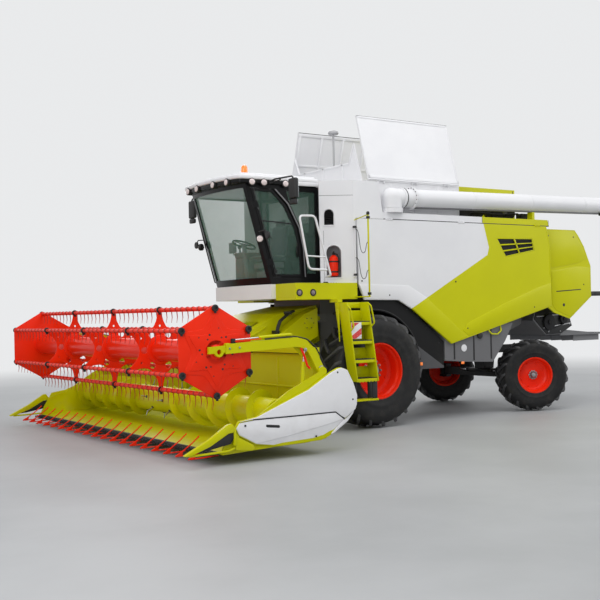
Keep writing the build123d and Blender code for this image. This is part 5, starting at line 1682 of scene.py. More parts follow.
@dataclass
class Header:
    """The cutting table's side shields, crop dividers and back sheet."""

    outer_y: float = -3380.0
    inner_y: float = -3312.0
    upper: Outline = ((-3640, 520), (-3386, 560), (-2600, 855), (-2240, 1060), (-2120, 1108), (-2065, 1115),
                      (-1980, 1085), (-1880, 900), (-1825, 740), (-1835, 620), (-1861, 556), (-2030, 452),
                      (-2083, 480), (-2179, 549), (-2919, 543), (-3422, 543))
    lower: Outline = ((-3422, 527), (-2919, 527), (-2179, 533), (-2083, 463), (-2046, 436), (-2286, 386),
                      (-2912, 287), (-3395, 229), (-3640, 360), (-3680, 440), (-3632, 506))
    strip: Outline = ((-2040, 442), (-2020, 434), (-1868, 548), (-1890, 500), (-1985, 400), (-2200, 268),
                      (-2252, 256))
    flanks: tuple[tuple[Point, ...], ...] = (
        ((-3392, 15, 230), (-2912, 15, 288), (-3040, 44, 180)),
        ((-2912, 15, 288), (-2286, 15, 387), (-2400, 44, 205), (-3040, 44, 180)),
        ((-2286, 15, 387), (-2048, 15, 437), (-2262, 44, 262), (-2400, 44, 205)))
    rim: Outline = ((-3386, 566), (-2600, 862), (-2240, 1068), (-2120, 1117), (-2062, 1120), (-1975, 1090),
                    (-1872, 900), (-1818, 740), (-1830, 615), (-1861, 548), (-2262, 235), (-2400, 190),
                    (-3040, 168), (-3400, 218), (-3650, 352), (-3690, 449), (-3644, 527))
    grip: Outline = ((-3252, 462), (-3060, 440), (-3046, 416), (-3062, 404), (-3240, 424), (-3260, 440))
    seam: Outline = ((-3440, 518), (-2919, 518), (-2179, 524), (-2083, 454), (-2040, 428), (-2026, 448),
                     (-2083, 486), (-2179, 556), (-2919, 550), (-3440, 550))
    shield_bolts: Outline = ((-3560, 470), (-2500, 250), (-1900, 690), (-2140, 1060))
    nose: Outline = ((-3700, 440), (-3745, 510), (-3800, 502), (-4060, 342), (-4398, 178), (-4399, 166),
                     (-4380, 160), (-4300, 172), (-4050, 258), (-3800, 392), (-3730, 400))
    # Outline of the black plate of painted shade in each divider's gap.
    web: Outline = ((-3716, 396), (-3800, 388), (-4050, 262), (-4240, 196), (-4100, 206), (-3760, 262),
                    (-3716, 330))
    under: Outline = ((-3700, 205), (-3790, 175), (-4180, 164), (-4330, 164))
    heel: Outline = ((-3690, 180), (-3600, 168), (-3460, 150), (-3420, 176), (-3440, 224), (-3640, 330),
                     (-3700, 420))

    def shield(self) -> None:
        """Builds both shields: white shells with folds, lime rims, and black seams, bolts and painted slot
        shade.
        """
        white, rim, dark = Form(), Form(), Form()
        y = self.outer_y
        white.side(self.upper, y + 6, y + 34, 11, 3)
        white.side(self.lower, y + 13, y + 42, 11, 3)
        white.side(self.strip, y + 20, y + 44, 8)
        for flank in self.flanks:
            white.plate([(x, y + deep, z) for x, deep, z in flank], (0, 14, 0))
        rim.side(self.rim, y + 36, self.inner_y - 3, 5)
        # A black plate in the shield's slot: painted shade inside the recess.
        dark.side(self.grip, y + 11, y + 20, 3)
        dark.side(self.seam, y + 19, y + 27)
        dark.studs(self.shield_bolts, y + 4.5, y + 16, 13, 20, 1.5)
        white.both_sides().piece("shield_shells", Finishes.white, "header", "header_ends")
        hand_out("header", (rim, "shield_rims", Finishes.lime), (dark, "shield_recesses", Finishes.black))

    def divider(self) -> None:
        """Builds both crop dividers: lime noses, lower frames and black plates of painted shade between them.
        """
        nose, tube, web = Form(), Form(), Form()
        y0, y1 = self.outer_y + 4, self.inner_y - 4
        nose.side(self.nose, y0, y1, 11, 3)
        # Black plate in the gap between nose and frame: painted shade.
        web.side(self.web, y0 + 16, y1 - 10, 4)
        nose.block((-3722, y0, 236), (-3690, y1, 448), edge=8)
        tube.pipe([(x, (y0 + y1) / 2, z) for x, z in self.under], 15, 70)
        tube.side(self.heel, y0 + 14, y1 + 1, 5)
        hand_out("header", (nose, "divider_noses", Finishes.lime), (tube, "divider_frames", Finishes.lime),
                 (web, "divider_webs", Finishes.black))

    def build(self) -> None:
        """Builds both ends and the table's back."""
        self.shield()
        self.divider()
        back, pipe = Form(), Form()
        for y in (-3080, -2200, -1320, 1320, 2200, 3080):
            back.block((-2336, y - 22, 380), (-2302, y + 22, 1240), edge=6)
        back.block((-2345, -3280, 830), (-2303, 3280, 856), edge=6)
        back.piece("table_back_folds", Finishes.lime, "header")
        pipe.rod((-2330, -3180, 1322), (-2330, 3180, 1322), 26)
        for y in (-3000, -1500, 0, 1500, 3000):
            pipe.block((-2366, y - 24, 1290), (-2294, y + 24, 1352), edge=6)
        pipe.piece("table_top_pipe", Finishes.black, "header")


@dataclass
class Roof:
    """The cab's roof with its dark front band, work lamps and beacon, and the mast of the rear lamps."""

    front_x: float = -2250.0
    rear_x: float = -684.0
    half: float = 926.0
    bow: float = 90.0
    bow_at: tuple[float, ...] = (-0.86, -0.6, -0.3, 0.0, 0.3, 0.6, 0.86)
    front_lamp_y: tuple[float, ...] = (-640.0, -270.0)
    side_lamp_x: tuple[float, ...] = (-1918.0, -1701.0, -1307.0)
    beacon: Point = (-1920.0, -700.0, 0.0)
    beacon_base: Outline = ((0, 3990), (66, 3990), (66, 4022), (54, 4034), (0, 4034))
    beacon_dome: Outline = ((0, 4030), (50, 4030), (52, 4090), (48, 4130), (34, 4158), (0, 4168))

    def outline(self, inset: float, bow: float) -> list[Flat]:
        """The roof's plan with its bowed front, set in all round.

        Args:
            inset: How far it is set in.
            bow: How far its front bulges.

        Returns:
            The outline.
        """
        front, half, rear = self.front_x + self.bow + inset, self.half - inset, self.rear_x - inset * 0.2
        bowed = [(front - bow * (1 - share * share), half * share) for share in self.bow_at]
        return [(rear, -half), (front + 70, -half), (front + 22, -half * 0.97), *bowed,
                (front + 22, half * 0.97), (front + 70, half), (rear, half)]

    def build(self) -> None:
        """Builds the roof."""
        cap, band, lamps, glass, base, dome = (Form() for _ in range(6))
        half = self.half
        for inset, bow, low, high, edge in ((2, self.bow, 3925, 3992, 22), (70, 80, 3975, 4030, 20),
                                            (240, 60, 4018, 4057, 16)):
            cap.plan(self.outline(inset, bow), low, high, edge, 3)
        cap.plan([(self.rear_x, -half), (-1150, -half), (-1190, 20 - half), (-1190, half - 20), (-1150, half),
                  (self.rear_x, half)], 3866, 3932, 10)
        band.plan(self.outline(16, self.bow), 3864, 3930, 14, 3)
        band.plan(self.outline(60, self.bow), 3858, 3868, 3)
        for y in self.front_lamp_y:
            x = self.front_x + self.bow * (y / half) ** 2
            lamps.rod((x - 14, y, 3890), (x + 60, y, 3890), 60, sides=32, edge=5)
            glass.ball((x - 13, y, 3890), 52, (0.3, 1, 0.9), 24)
        for x in self.side_lamp_x:
            lamps.rod((x, 38 - half, 3884), (x, -half, 3884), 60, sides=32, edge=5)
            glass.ball((x, 1 - half, 3884), 52, (1, 0.3, 0.9), 24)
        cap.piece("roof_cap", Finishes.white, replaces="cab_roof")
        band.piece("roof_band", Finishes.gloss_black)
        hand_out("machine", (lamps, "roof_lamp_boxes", Finishes.black),
                 (glass, "roof_lamp_glasses", Finishes.work_lens))
        for form, profile in ((base, self.beacon_base), (dome, self.beacon_dome)):
            form.turned(profile, self.beacon, UP, 36, 2)
        base.rod((4700, 300, 3300), (4700, 300, 3760), 22)
        base.block((4680, 100, 3760), (4720, 500, 3800), 6)
        dome.piece("beacon_dome", Finishes.amber)
        base.piece("beacon_base_and_mast", Finishes.black, replaces="lamps")


@dataclass
class Tail:
    """The lamp arms behind the rear hood."""

    arm: Box = ((5300, -1292, 2074), (5470, -1186, 2136))
    head: Box = ((5440, -1298, 2062), (5690, -1182, 2148))
    red: Box = ((5684, -1286, 2072), (5699, -1236, 2138))
    clear: Box = ((5684, -1230, 2072), (5699, -1194, 2138))

    def build(self) -> None:
        """Builds both arms."""
        arms, red, clear = Form(), Form(), Form()
        arms.block(*self.arm, edge=8)
        arms.block(*self.head, edge=14, segments=3)
        red.block(*self.red, edge=5)
        clear.block(*self.clear, edge=5)
        hand_out("machine", (arms, "tail_lamp_arms", Finishes.black),
                 (red, "tail_lamps_red", Finishes.red_lens), (clear, "tail_lamps_clear", Finishes.clear_lens))


@dataclass
class CabTrim:
    """Wipers, door bar, handle, seal, base lamps and pillar strip of the cab."""

    side_y: float = -870.0
    foot: Flat = (-1505.0, 2310.0)
    lean: float = 440.0 / 1550.0
    strip: Outline = ((-1500, 3796), (-1258, 3568), (-1060, 3206), (-985, 2866), (-960, 2425), (-940, 2425),
                      (-965, 2870), (-1040, 3214), (-1238, 3580), (-1472, 3796))
    lamp_x: tuple[float, ...] = (-1440.0, -1190.0)
    lamp_rim: Outline = ((34, 2), (40, 13), (52, 13), (56, 0), (34, 0))

    def pillar(self, z: float, back: float) -> Flat:
        """A point at a height, so far behind the front edge of the side window."""
        return self.foot[0] - self.lean * (z - self.foot[1]) + back, z

    def build(self) -> None:
        """Builds the trim."""
        bars, seal, handle, strip, recess, glass = (Form() for _ in range(6))
        face, y = self.side_y, self.side_y - 12
        upper, lower = self.pillar(3300, 20)[0], self.pillar(3280, 20)[0]
        bars.side([(upper, 3312), (-1170, 3276), (-1176, 3258), (lower, 3294)], face + 6, face + 16, 2)
        bars.pipe([(-1500, y, 2520), (-1560, y - 6, 2700), (-1700, y - 6, 3120)], 8, 40)
        bars.pipe([(-1560, y - 2, 3020), (-1690, y - 2, 3170)], 6)
        bars.block((-1530, y - 6, 2486), (-1474, y + 6, 2540), 5)
        seal.side([self.pillar(2425, 58), self.pillar(3790, 58), self.pillar(3790, 70),
                   self.pillar(2425, 70)], face - 4, face + 4, 1)
        handle.block((-1108, face - 26, 2760), (-1074, face - 6, 2900), 8, 3)
        handle.block((-1100, face - 12, 2740), (-1056, face - 2, 2920), 4)
        strip.side(self.strip, face - 26, face - 20, 2)
        for x in self.lamp_x:
            recess.turned(self.lamp_rim, (x, -1448, 2162), (0, -1, 0), 40, 1.5)
            glass.ball((x, -1450, 2162), 40, (1, 0.3, 1), 24)
        for form, name, finish, body in (
                (bars, "cab_bars_and_wipers", Finishes.black, "driver_door"),
                (seal, "cab_door_seal", Finishes.black, "driver_door"),
                (handle, "cab_door_handle", Finishes.gloss_black, "driver_door"),
                (strip, "cab_pillar_strip", Finishes.grey, "driver_door"),
                (recess, "base_lamp_recesses", Finishes.black, "machine"),
                (glass, "base_lamp_glasses", Finishes.smoked_lens, "machine")):
            form.piece(name, finish, body)


@dataclass
class Mirrors:
    """Mirror housings on their bent arms, the pillar lamps and the bar beside the windscreen."""

    arms: tuple[tuple[float, float, tuple[Point, ...]], ...] = (
        (13, 60, ((-1600, -920, 3900), (-1625, -1120, 3916), (-1630, -1600, 3900), (-1632, -1640, 3860))),
        (10, 30, ((-1610, -924, 3860), (-1630, -1280, 3888))),
        (11, 60, ((-1800, -900, 2996), (-1832, -955, 3004))),
        (9, 40, ((-1795, -880, 3120), (-1812, -1080, 3130), (-1806, -1160, 3070))))
    bar: tuple[Point, ...] = ((-1925, 880, 3812), (-1944, 950, 3799), (-1753, 950, 3044), (-1576, 950, 2407),
                              (-1560, 880, 2395))

    def build(self) -> None:
        """Builds the mirrors on both sides."""
        arms, boxes, glass, lens, bar = (Form() for _ in range(5))
        for radius, bend, line in self.arms:
            arms.pipe(line, radius, bend)
        arms.block((-1622, -940, 3872), (-1580, -896, 3918), 6)
        boxes.block((-1662, -1720, 3560), (-1588, -1530, 3868), 26, 4)
        boxes.block((-1656, -1706, 3472), (-1596, -1546, 3556), 20, 3)
        glass.blocks((((-1592, -1708, 3580), (-1584, -1542, 3850)),
                      ((-1600, -1694, 3486), (-1592, -1558, 3544))), 3)
        boxes.rod((-1812, -936, 3005), (-1836, -980, 3005), 58, sides=32, edge=6)
        boxes.rod((-1818, -1160, 3050), (-1792, -1160, 3050), 58, sides=32, edge=6)
        lens.rod((-1834, -977, 3005), (-1840, -988, 3005), 47, sides=32, edge=4)
        bar.pipe(self.bar, 11, 40)
        bar.rod((-1753, 880, 3044), (-1753, 952, 3044), 9, sides=16)
        bar.piece("windscreen_side_bar", Finishes.black)
        arms.both_sides().piece("mirror_arms", Finishes.black, replaces="mirrors")
        hand_out("machine", (boxes, "mirror_housings", Finishes.black),
                 (lens, "pillar_lamp_glasses", Finishes.work_lens),
                 (glass, "mirror_glasses", Finishes.mirror_glass))


@dataclass
class CabInside:
    """Driver's seat, steering wheel and console."""

    cushions: tuple[tuple[str, Box, float], ...] = (
        ("seat_cushion", ((-1330, -240, 2700), (-870, 240, 2815)), 0.0),
        ("seat_back", ((-955, -232, 2800), (-850, 232, 3300)), math.radians(8.0)),
        ("head_rest", ((-940, -120, 3290), (-865, 120, 3410)), math.radians(8.0)))
    hinge: Point = (-900.0, 0.0, 2820.0)
    wheel: Point = (-1545.0, 0.0, 2985.0)
    wheel_axis: Point = (0.33, 0.0, 0.94)
    wheel_radius: float = 190.0
    grip_radius: float = 15.0
    spokes: tuple[float, ...] = (90.0, 210.0, 330.0)

    def cushion(self, low: Point, high: Point, lean: float) -> Form:
        """A crowned, closed cushion with sewn grooves, leant back about the seat's hinge.

        Args:
            low: Lowest corner.
            high: Highest corner.
            lean: How far it leans, in radians.

        Returns:
            The form.
        """
        form = Form()
        part = bmesh.new()
        bmesh.ops.create_cube(part, size=1.0)
        bmesh.ops.subdivide_edges(part, edges=part.edges[:], cuts=11, use_grid_fill=True)
        size = Vector([b - a for a, b in zip(low, high)])
        middle = (Vector(low) + Vector(high)) / 2
        thin = min(range(3), key=lambda axis: size[axis])
        wide = [axis for axis in range(3) if axis != thin]
        for vert in part.verts:
            x, z = (2 * vert.co[axis] for axis in wide)
            round_off = (1 - abs(x) ** 5) * (1 - abs(z) ** 5)
            groove = 0.10 * (math.exp(-((abs(x) - 0.62) / 0.055) ** 2) + math.exp(-((z - 0.15) / 0.055) ** 2))
            vert.co[thin] *= 0.45 + 0.55 * round_off ** 0.5 - groove * round_off
            for axis, other in zip(wide, reversed(wide)):
                vert.co[axis] *= 1 - 0.045 * abs(2 * vert.co[other]) ** 4
            vert.co = Vector([a * b for a, b in zip(vert.co, size)]) + middle
        hinge = Matrix.Translation(self.hinge)
        form.take(part, place=hinge @ Matrix.Rotation(lean, 4, "Y") @ hinge.inverted())
        return form

    def steering(self, column: Form) -> Form:
        """Adds the steering column to a form and builds the wheel's rim with its spokes.

        Args:
            column: Where the column goes.

        Returns:
            The form of the wheel.
        """
        rim = Form()
        column.rod((-1480, 0, 2358), (-1545, 0, 2970), 44, tip=34, sides=28, edge=4)
        column.turned([(0, -30), (58, -30), (46, 12), (0, 16)], self.wheel, self.wheel_axis, 32, 4)
        round_grip = [on_circle(self.grip_radius, math.tau * k / 12) for k in range(12)]
        rim.turned([(self.wheel_radius + out, up) for out, up in round_grip], self.wheel, self.wheel_axis, 56)
        for degrees in self.spokes:
            turn = Matrix.Rotation(math.radians(degrees), 4, "Z")
            rim.block((30, -13, -7), (182, 13, 7), 4,
                      turn=Matrix.Translation(self.wheel) @ facing(self.wheel_axis) @ turn)
        return rim

    def build(self) -> None:
        """Builds what shows through the glass."""
        for name, corners, lean in self.cushions:
            piece = self.cushion(*corners, lean).piece(name, Finishes.seat)
        plastics = Form()
        plastics.blocks((((-1210, -185, 2358), (-950, 185, 2560)),
                         ((-1420, 300, 2790), (-960, 540, 2884))), 24, 3)
        plastics.block((-1250, -200, 2600), (-900, 200, 2700), 20, 3)
        plastics.block((-1400, 320, 2358), (-900, 560, 2800), 30, 4)
        plastics.block((-1470, 420, 2880), (-1440, 640, 3060), 10, 3)
        plastics.turned([(0, 2550), (120, 2550), (104, 2572), (120, 2592), (0, 2592)], (-1080, 0, 0), UP, 32)
        plastics.rod((-1360, 440, 2870), (-1372, 440, 2960), 16, sides=16, edge=2)
        plastics.ball((-1374, 440, 2984), 34, (1, 0.8, 1.3))
        plastics.rod((-1440, 500, 2840), (-1456, 520, 2900), 12, sides=12)
        rim = self.steering(plastics)
        plastics.piece("cab_plastics", Finishes.grey, replaces="cab_interior")
        rim.piece("steering_wheel", Finishes.black)


@dataclass
class Tower:
    """Fittings on the housing behind the cab: vent, niche frame, seams and fire extinguisher."""

    corner: Flat = (-845.0, -1160.0)
    outer: Flat = (-388.0, -1450.0)
    vent_share: float = 0.28
    niche_share: float = 0.40
    bow_steps: int = 14
    slats: int = 8
    stand: Point = (0.0, 72.0, 0.0)
    bottle: Outline = ((0, 2424), (60, 2424), (70, 2436), (70, 2690), (62, 2722), (34, 2748), (22, 2758),
                       (0, 2758))

    def face(self, share: float) -> Matrix:
        """A frame on the slanted face: x along it, y into the machine, z up.

        Args:
            share: How far along the face it starts.

        Returns:
            The transform.
        """
        run = Vector(self.outer) - Vector(self.corner)
        start = Vector(self.corner) + run * share
        return Matrix.Translation((*start, 0.0)) @ Matrix.Rotation(math.atan2(run.y, run.x), 4, "Z")

    def arch(self, half: float, low: float, spring: float, grow: float = 0.0) -> list[Flat]:
        """An arched outline, grown outwards.

        Args:
            half: Half its width.
            low: Its foot.
            spring: Where its bow starts.
            grow: How far it is grown.

        Returns:
            The outline.
        """
        wide = half + grow
        bow = (on_circle(wide, math.pi * k / self.bow_steps) for k in range(self.bow_steps + 1))
        return [(wide, low - grow), *((x, spring + up) for x, up in bow), (-wide, low - grow)]

    def arch_frame(self, half: float, low: float, spring: float) -> Form:
        """A raised frame round an arched recess.

        Args:
            half: Half the recess's width.
            low: Its foot.
            spring: Where its bow starts.

        Returns:
            The form.
        """
        form = Form()
        outer, inner = self.arch(half, low, spring, 20), self.arch(half, low, spring, 2)
        for k in range(len(outer)):
            ahead = (k + 1) % len(outer)
            form.side([outer[k], outer[ahead], inner[ahead], inner[k]], -7, 6)
        bmesh.ops.remove_doubles(form.mesh, verts=form.mesh.verts[:], dist=0.1)
        inside = [f for f in form.mesh.faces if sum(1 for e in f.edges if len(e.link_faces) > 2) == 4]
        bmesh.ops.delete(form.mesh, geom=inside, context="FACES")
        return form

    def recesses(self) -> tuple[Form, Form]:
        """The vent's slats on a black back plate of painted shade inside the vent, and the back of the niche.

        Returns:
            The slats and the niche's back.
        """
        dark, back = Form(), Form()
        # Black arched plate behind the slats: painted shade inside the vent.
        dark.side(self.arch(73, 3232, 3398), 74, 88)
        for k in range(self.slats):
            z = 3246 + 28 * k
            wide = 71 if z < 3390 else 71 - (z - 3390) * 0.45
            dark.plate([(-wide, 10, z), (-wide, 14, z + 4), (-wide, 58, z - 14), (-wide, 54, z - 18)],
                       (2 * wide, 0, 0), 1)
        back.side(self.arch(112, 2404, 2788), 138, 148)
        return dark, back

    def extinguisher(self) -> tuple[Form, Form]:
        """The bottle and its fittings.

        Returns:
            The bottle and its fittings.
        """
        bottle, trim = Form(), Form()
        bottle.turned(self.bottle, self.stand, UP, 40, 3)
        for z in (2478, 2640):
            trim.turned(collar(60, 73, z, z + 24), self.stand, UP, 40, 2)
        trim.rod((0, 72, 2752), (0, 72, 2800), 19, sides=16, edge=3)
        trim.blocks((((-14, 8, 2786), (14, 112, 2800)), ((-12, 0, 2800), (12, 96, 2816))), 4)
        trim.pipe([(18, 72, 2778), (58, 66, 2770), (80, 60, 2700), (80, 56, 2560), (74, 52, 2500)], 8, 30)
        trim.block((-40, 130, 2470), (40, 147, 2670), 3)
        return bottle, trim

    def build(self) -> None:
        """Builds the fittings."""
        vent, niche = self.face(self.vent_share), self.face(self.niche_share)
        slats, back = self.recesses()
        bottle, trim = self.extinguisher()
        seams = Form()
        seams.blocks((((4, -1.2, 3690), (538, 3, 3695)), ((60, -1.2, 2330), (64, 3, 3140))))
        self.arch_frame(75, 3230, 3400).moved(vent).piece("vent_frame", Finishes.white)
        self.arch_frame(115, 2400, 2790).moved(niche).piece("niche_frame", Finishes.white)
        slats.moved(vent).piece("vent_slats", Finishes.black)
        back.moved(niche).piece("niche_back", Finishes.grey)
        seams.moved(self.face(0)).both_sides().piece("tower_seams", Finishes.black)
        bottle.moved(niche).piece("extinguisher_bottle", Finishes.red, replaces="fire_extinguisher")
        trim.moved(niche).piece("extinguisher_fittings", Finishes.black)


@dataclass
class SideDoors:
    """Grilles, folds and seams of both large side panels."""

    face_y: float = -1450.0
    grille: Outline = ((2722.0, 3082.0), (3610.0, 3092.0), (3646.0, 2896.0), (2934.0, 2768.0))
    slats: int = 9
    bars: tuple[tuple[float, float, float, float], ...] = (
        (0, 1, -0.03, 0.02), (0, 1, 0.97, 1.03), (-0.01, 0.012, 0, 1), (0.985, 1.008, 0, 1),
        (0.468, 0.502, 0, 1), (0, 1, 0.315, 0.395), (0, 1, 0.65, 0.73))
    front_fold: Outline = ((-306, 2284), (692, 2268), (1077, 2068), (1968, 1389), (1650, 1298), (1612, 1292),
                           (800, 1876), (495, 2040), (-192, 2050))
    rear_fold: Outline = ((1880, 1494), (1980, 1616), (2920, 1964), (3740, 2233), (4064, 2300), (4064, 1884),
                          (2010, 1400))
    end_fold: Outline = ((3974, 3320), (4064, 2978), (4064, 2420), (4040, 2440), (4040, 2970), (3955, 3310))
    studs: Outline = ((1739, 2328), (1989, 1532), (3620, 1870), (300, 2110), (-250, 2340))

    def across(self, s: float, t: float) -> Flat:
        """A point in the grille, by its shares along and down."""
        a, b, c, d = (Vector(p) for p in self.grille)
        return tuple(a.lerp(b, s).lerp(d.lerp(c, s), t))

    def patch(self, s0: float, s1: float, t0: float, t1: float) -> list[Flat]:
        """The outline of a part of the grille, by its shares."""
        return [self.across(s0, t0), self.across(s1, t0), self.across(s1, t1), self.across(s0, t1)]

    def build(self) -> None:
        """Builds both panels' dressing."""
        y = self.face_y
        for side in Side:
            folds, dark, bars, dots = (Form() for _ in range(4))
            for fold in (self.front_fold, self.rear_fold):
                folds.side(fold, y - 5, y + 4, 4.5, 3)
            folds.side(self.end_fold, y - 4, y + 3, 3)
            # The grille's back sheet and slats are near-black: painted shade in its openings.
            dark.side(self.patch(0, 1, 0, 1), y + 24, y + 28)
            for k in range(self.slats):
                t = 0.12 + 0.092 * k
                (x0, z0), (x1, z1) = self.across(0.02, t), self.across(0.98, t)
                dark.plate([(x0, y + 10, z0 - 12), (x0, y + 12, z0 - 15), (x0, y + 23, z0 - 3),
                            (x0, y + 21, z0)], (x1 - x0, 0, z1 - z0))
            for bar in self.bars:
                bars.side(self.patch(*bar), y - 2, y + 14, 3)
            dots.studs(self.studs, y - 8, y + 3, 13, 20, 2)
            dots.studs(self.studs, y - 12, y - 6, 7, 6, 1)
            for form, name, finish in ((folds, "fold", Dressing.door_paint()),
                                       (dark, "grille", Finishes.vent_dark),
                                       (bars, "grille_bars", Finishes.lime), (dots, "studs", Finishes.black)):
                form.on(side).piece(f"{side.word}_door_{name}", finish, f"{side.word}_side_door")


@dataclass
class Tank:
    """Lid frames, flap ribs, tank seams, dome and the unloading tube's fittings."""

    hinge: Flat = (-1150.0, 4005.0)
    lean: float = math.radians(-15.5)
    rib_x: tuple[float, ...] = (160.0, 640.0, 1120.0, 1600.0, 2056.0)
    wall_x: tuple[float, ...] = (620.0, 1130.0, 1640.0)
    mast_foot: Point = (100.0, -270.0, 0.0)
    mast_collar: Outline = ((17, 3931), (60, 3931), (60, 3940), (24, 3956), (17, 3990))
    dome: Outline = ((0, 4868), (72, 4868), (90, 4884), (90, 4906), (78, 4926), (48, 4937), (0, 4940))
    tube_start: Point = (470.0, -1350.0, 3700.0)
    tube_end: Point = (5980.0, -1350.0, 3790.0)
    band_at: tuple[float, ...] = (1750.0, 3150.0, 4550.0)
    flange: Outline = ((149, 180), (166, 180), (168, 186), (168, 210), (149, 210))
    tube_bolts: int = 16

    def lids(self) -> None:
        """Builds the stiffeners and edge strips of both lids."""
        place = Matrix.Translation((0, *self.hinge)) @ Matrix.Rotation(self.lean, 4, "X")
        for side in Side:
            ribs, strip = Form(), Form()
            ribs.blocks((((x, -1, 60), (x + 44, 17, 1104)) for x in self.rib_x), 6)
            ribs.block((150, -1, 1064), (2110, 15, 1120), 6)
            ribs.block((150, -1, 520), (2110, 11, 560), 5)
            ribs.blocks((((146, -31, 24), (2114, -24, 70)), ((146, -31, 24), (178, -24, 1124)),
                         ((2082, -31, 24), (2114, -24, 1124)), ((146, -31, 1090), (2114, -24, 1124))), 3)
            strip.block((142, -30, 1121), (2118, 5, 1130.5), 4)
            for form, name, finish in ((ribs, "ribs", Finishes.white), (strip, "edge", Finishes.black)):
                form.moved(place).on(side).piece(f"{side.word}_lid_{name}", finish, f"{side.word}_tank_lid")

    def box(self) -> None:
        """Builds the flap's ribs, the folds of the tank's walls and the dome on its mast."""
        flap, folds, mast = Form(), Form(), Form()
        flap.blocks((((52, y - 24, 3940), (66, y + 24, 4326)) for y in (-560, 0, 560)), 5)
        flap.block((52, -1080, 3940), (66, 1080, 3984), 5)
        flap.cross([(-760, 4296), (760, 4296), (740, 4326), (-740, 4326)], 52, 66, 4)
        for out in (-1, 1):
            flap.cross([(out * 742, 4322), (out * 870, 4600), (out * 896, 4600), (out * 780, 4322)],
                       52, 66, 4)
        folds.blocks((((x, -1133, 3456), (x + 36, -1128, 3985)) for x in self.wall_x), 2)
        x, y, _ = self.mast_foot
        mast.rod((x, y, 3930), (x, y, 4874), 17, sides=24)
        mast.turned(self.dome, self.mast_foot, UP, 48, 3)
        mast.turned(self.mast_collar, self.mast_foot, UP, 32, 2)
        flap.piece("tank_flap_ribs", Finishes.white)
        folds.both_sides().piece("tank_wall_folds", Finishes.white)
        mast.piece("satellite_dome", Finishes.pale_mast, replaces="satellite_mast")

    def tube(self) -> None:
        """Builds the unloading tube's bands, flange, clamp and rail."""
        start, run = self.tube_start, Vector(self.tube_end) - Vector(self.tube_start)
        place = Matrix.Translation(start)
        along = place @ facing(run)
        rail = place @ Matrix.Rotation(-math.atan2(run.z, run.x), 4, "Y")
        bands, dark, rails = Form(), Form(), Form()
        for at, radius, half in (*((at, 153.5, 22) for at in self.band_at), (run.length - 30, 158, 24)):
            bands.turned([(148, at - half), (radius, at - half + 3), (radius, at + half - 3),
                          (148, at + half)], start, run, 56, 1.5)
        bands.turned(self.flange, start, run, 56, 2)
        dark.turned(collar(149, 170, 212, 226), start, run, 56, 2)
        for k in range(self.tube_bolts):
            where = on_circle(171, math.tau * (k + 0.5) / self.tube_bolts)
            dark.rod(along @ Vector((*where, 388)), along @ Vector((*where, 422)), 9.5, sides=6)
        for low, high in (((470, -42, -162), (5080, -32, -142)), ((470, 32, -162), (5080, 42, -142)),
                          ((470, -42, -166), (5080, 42, -158))):
            rails.block(low, high, 3, turn=rail)
        dark.block((4980, -120, -200), (5090, -60, -150), 8, turn=rail)
        rails.piece("tube_rail", Finishes.grey, "unloading_auger")
        bands.piece("tube_bands", Finishes.white, "unloading_auger")
        dark.piece("tube_clamp_and_rail", Finishes.black, "unloading_auger")

    def build(self) -> None:
        """Builds the fittings."""
        self.lids()
        self.box()
        self.tube()


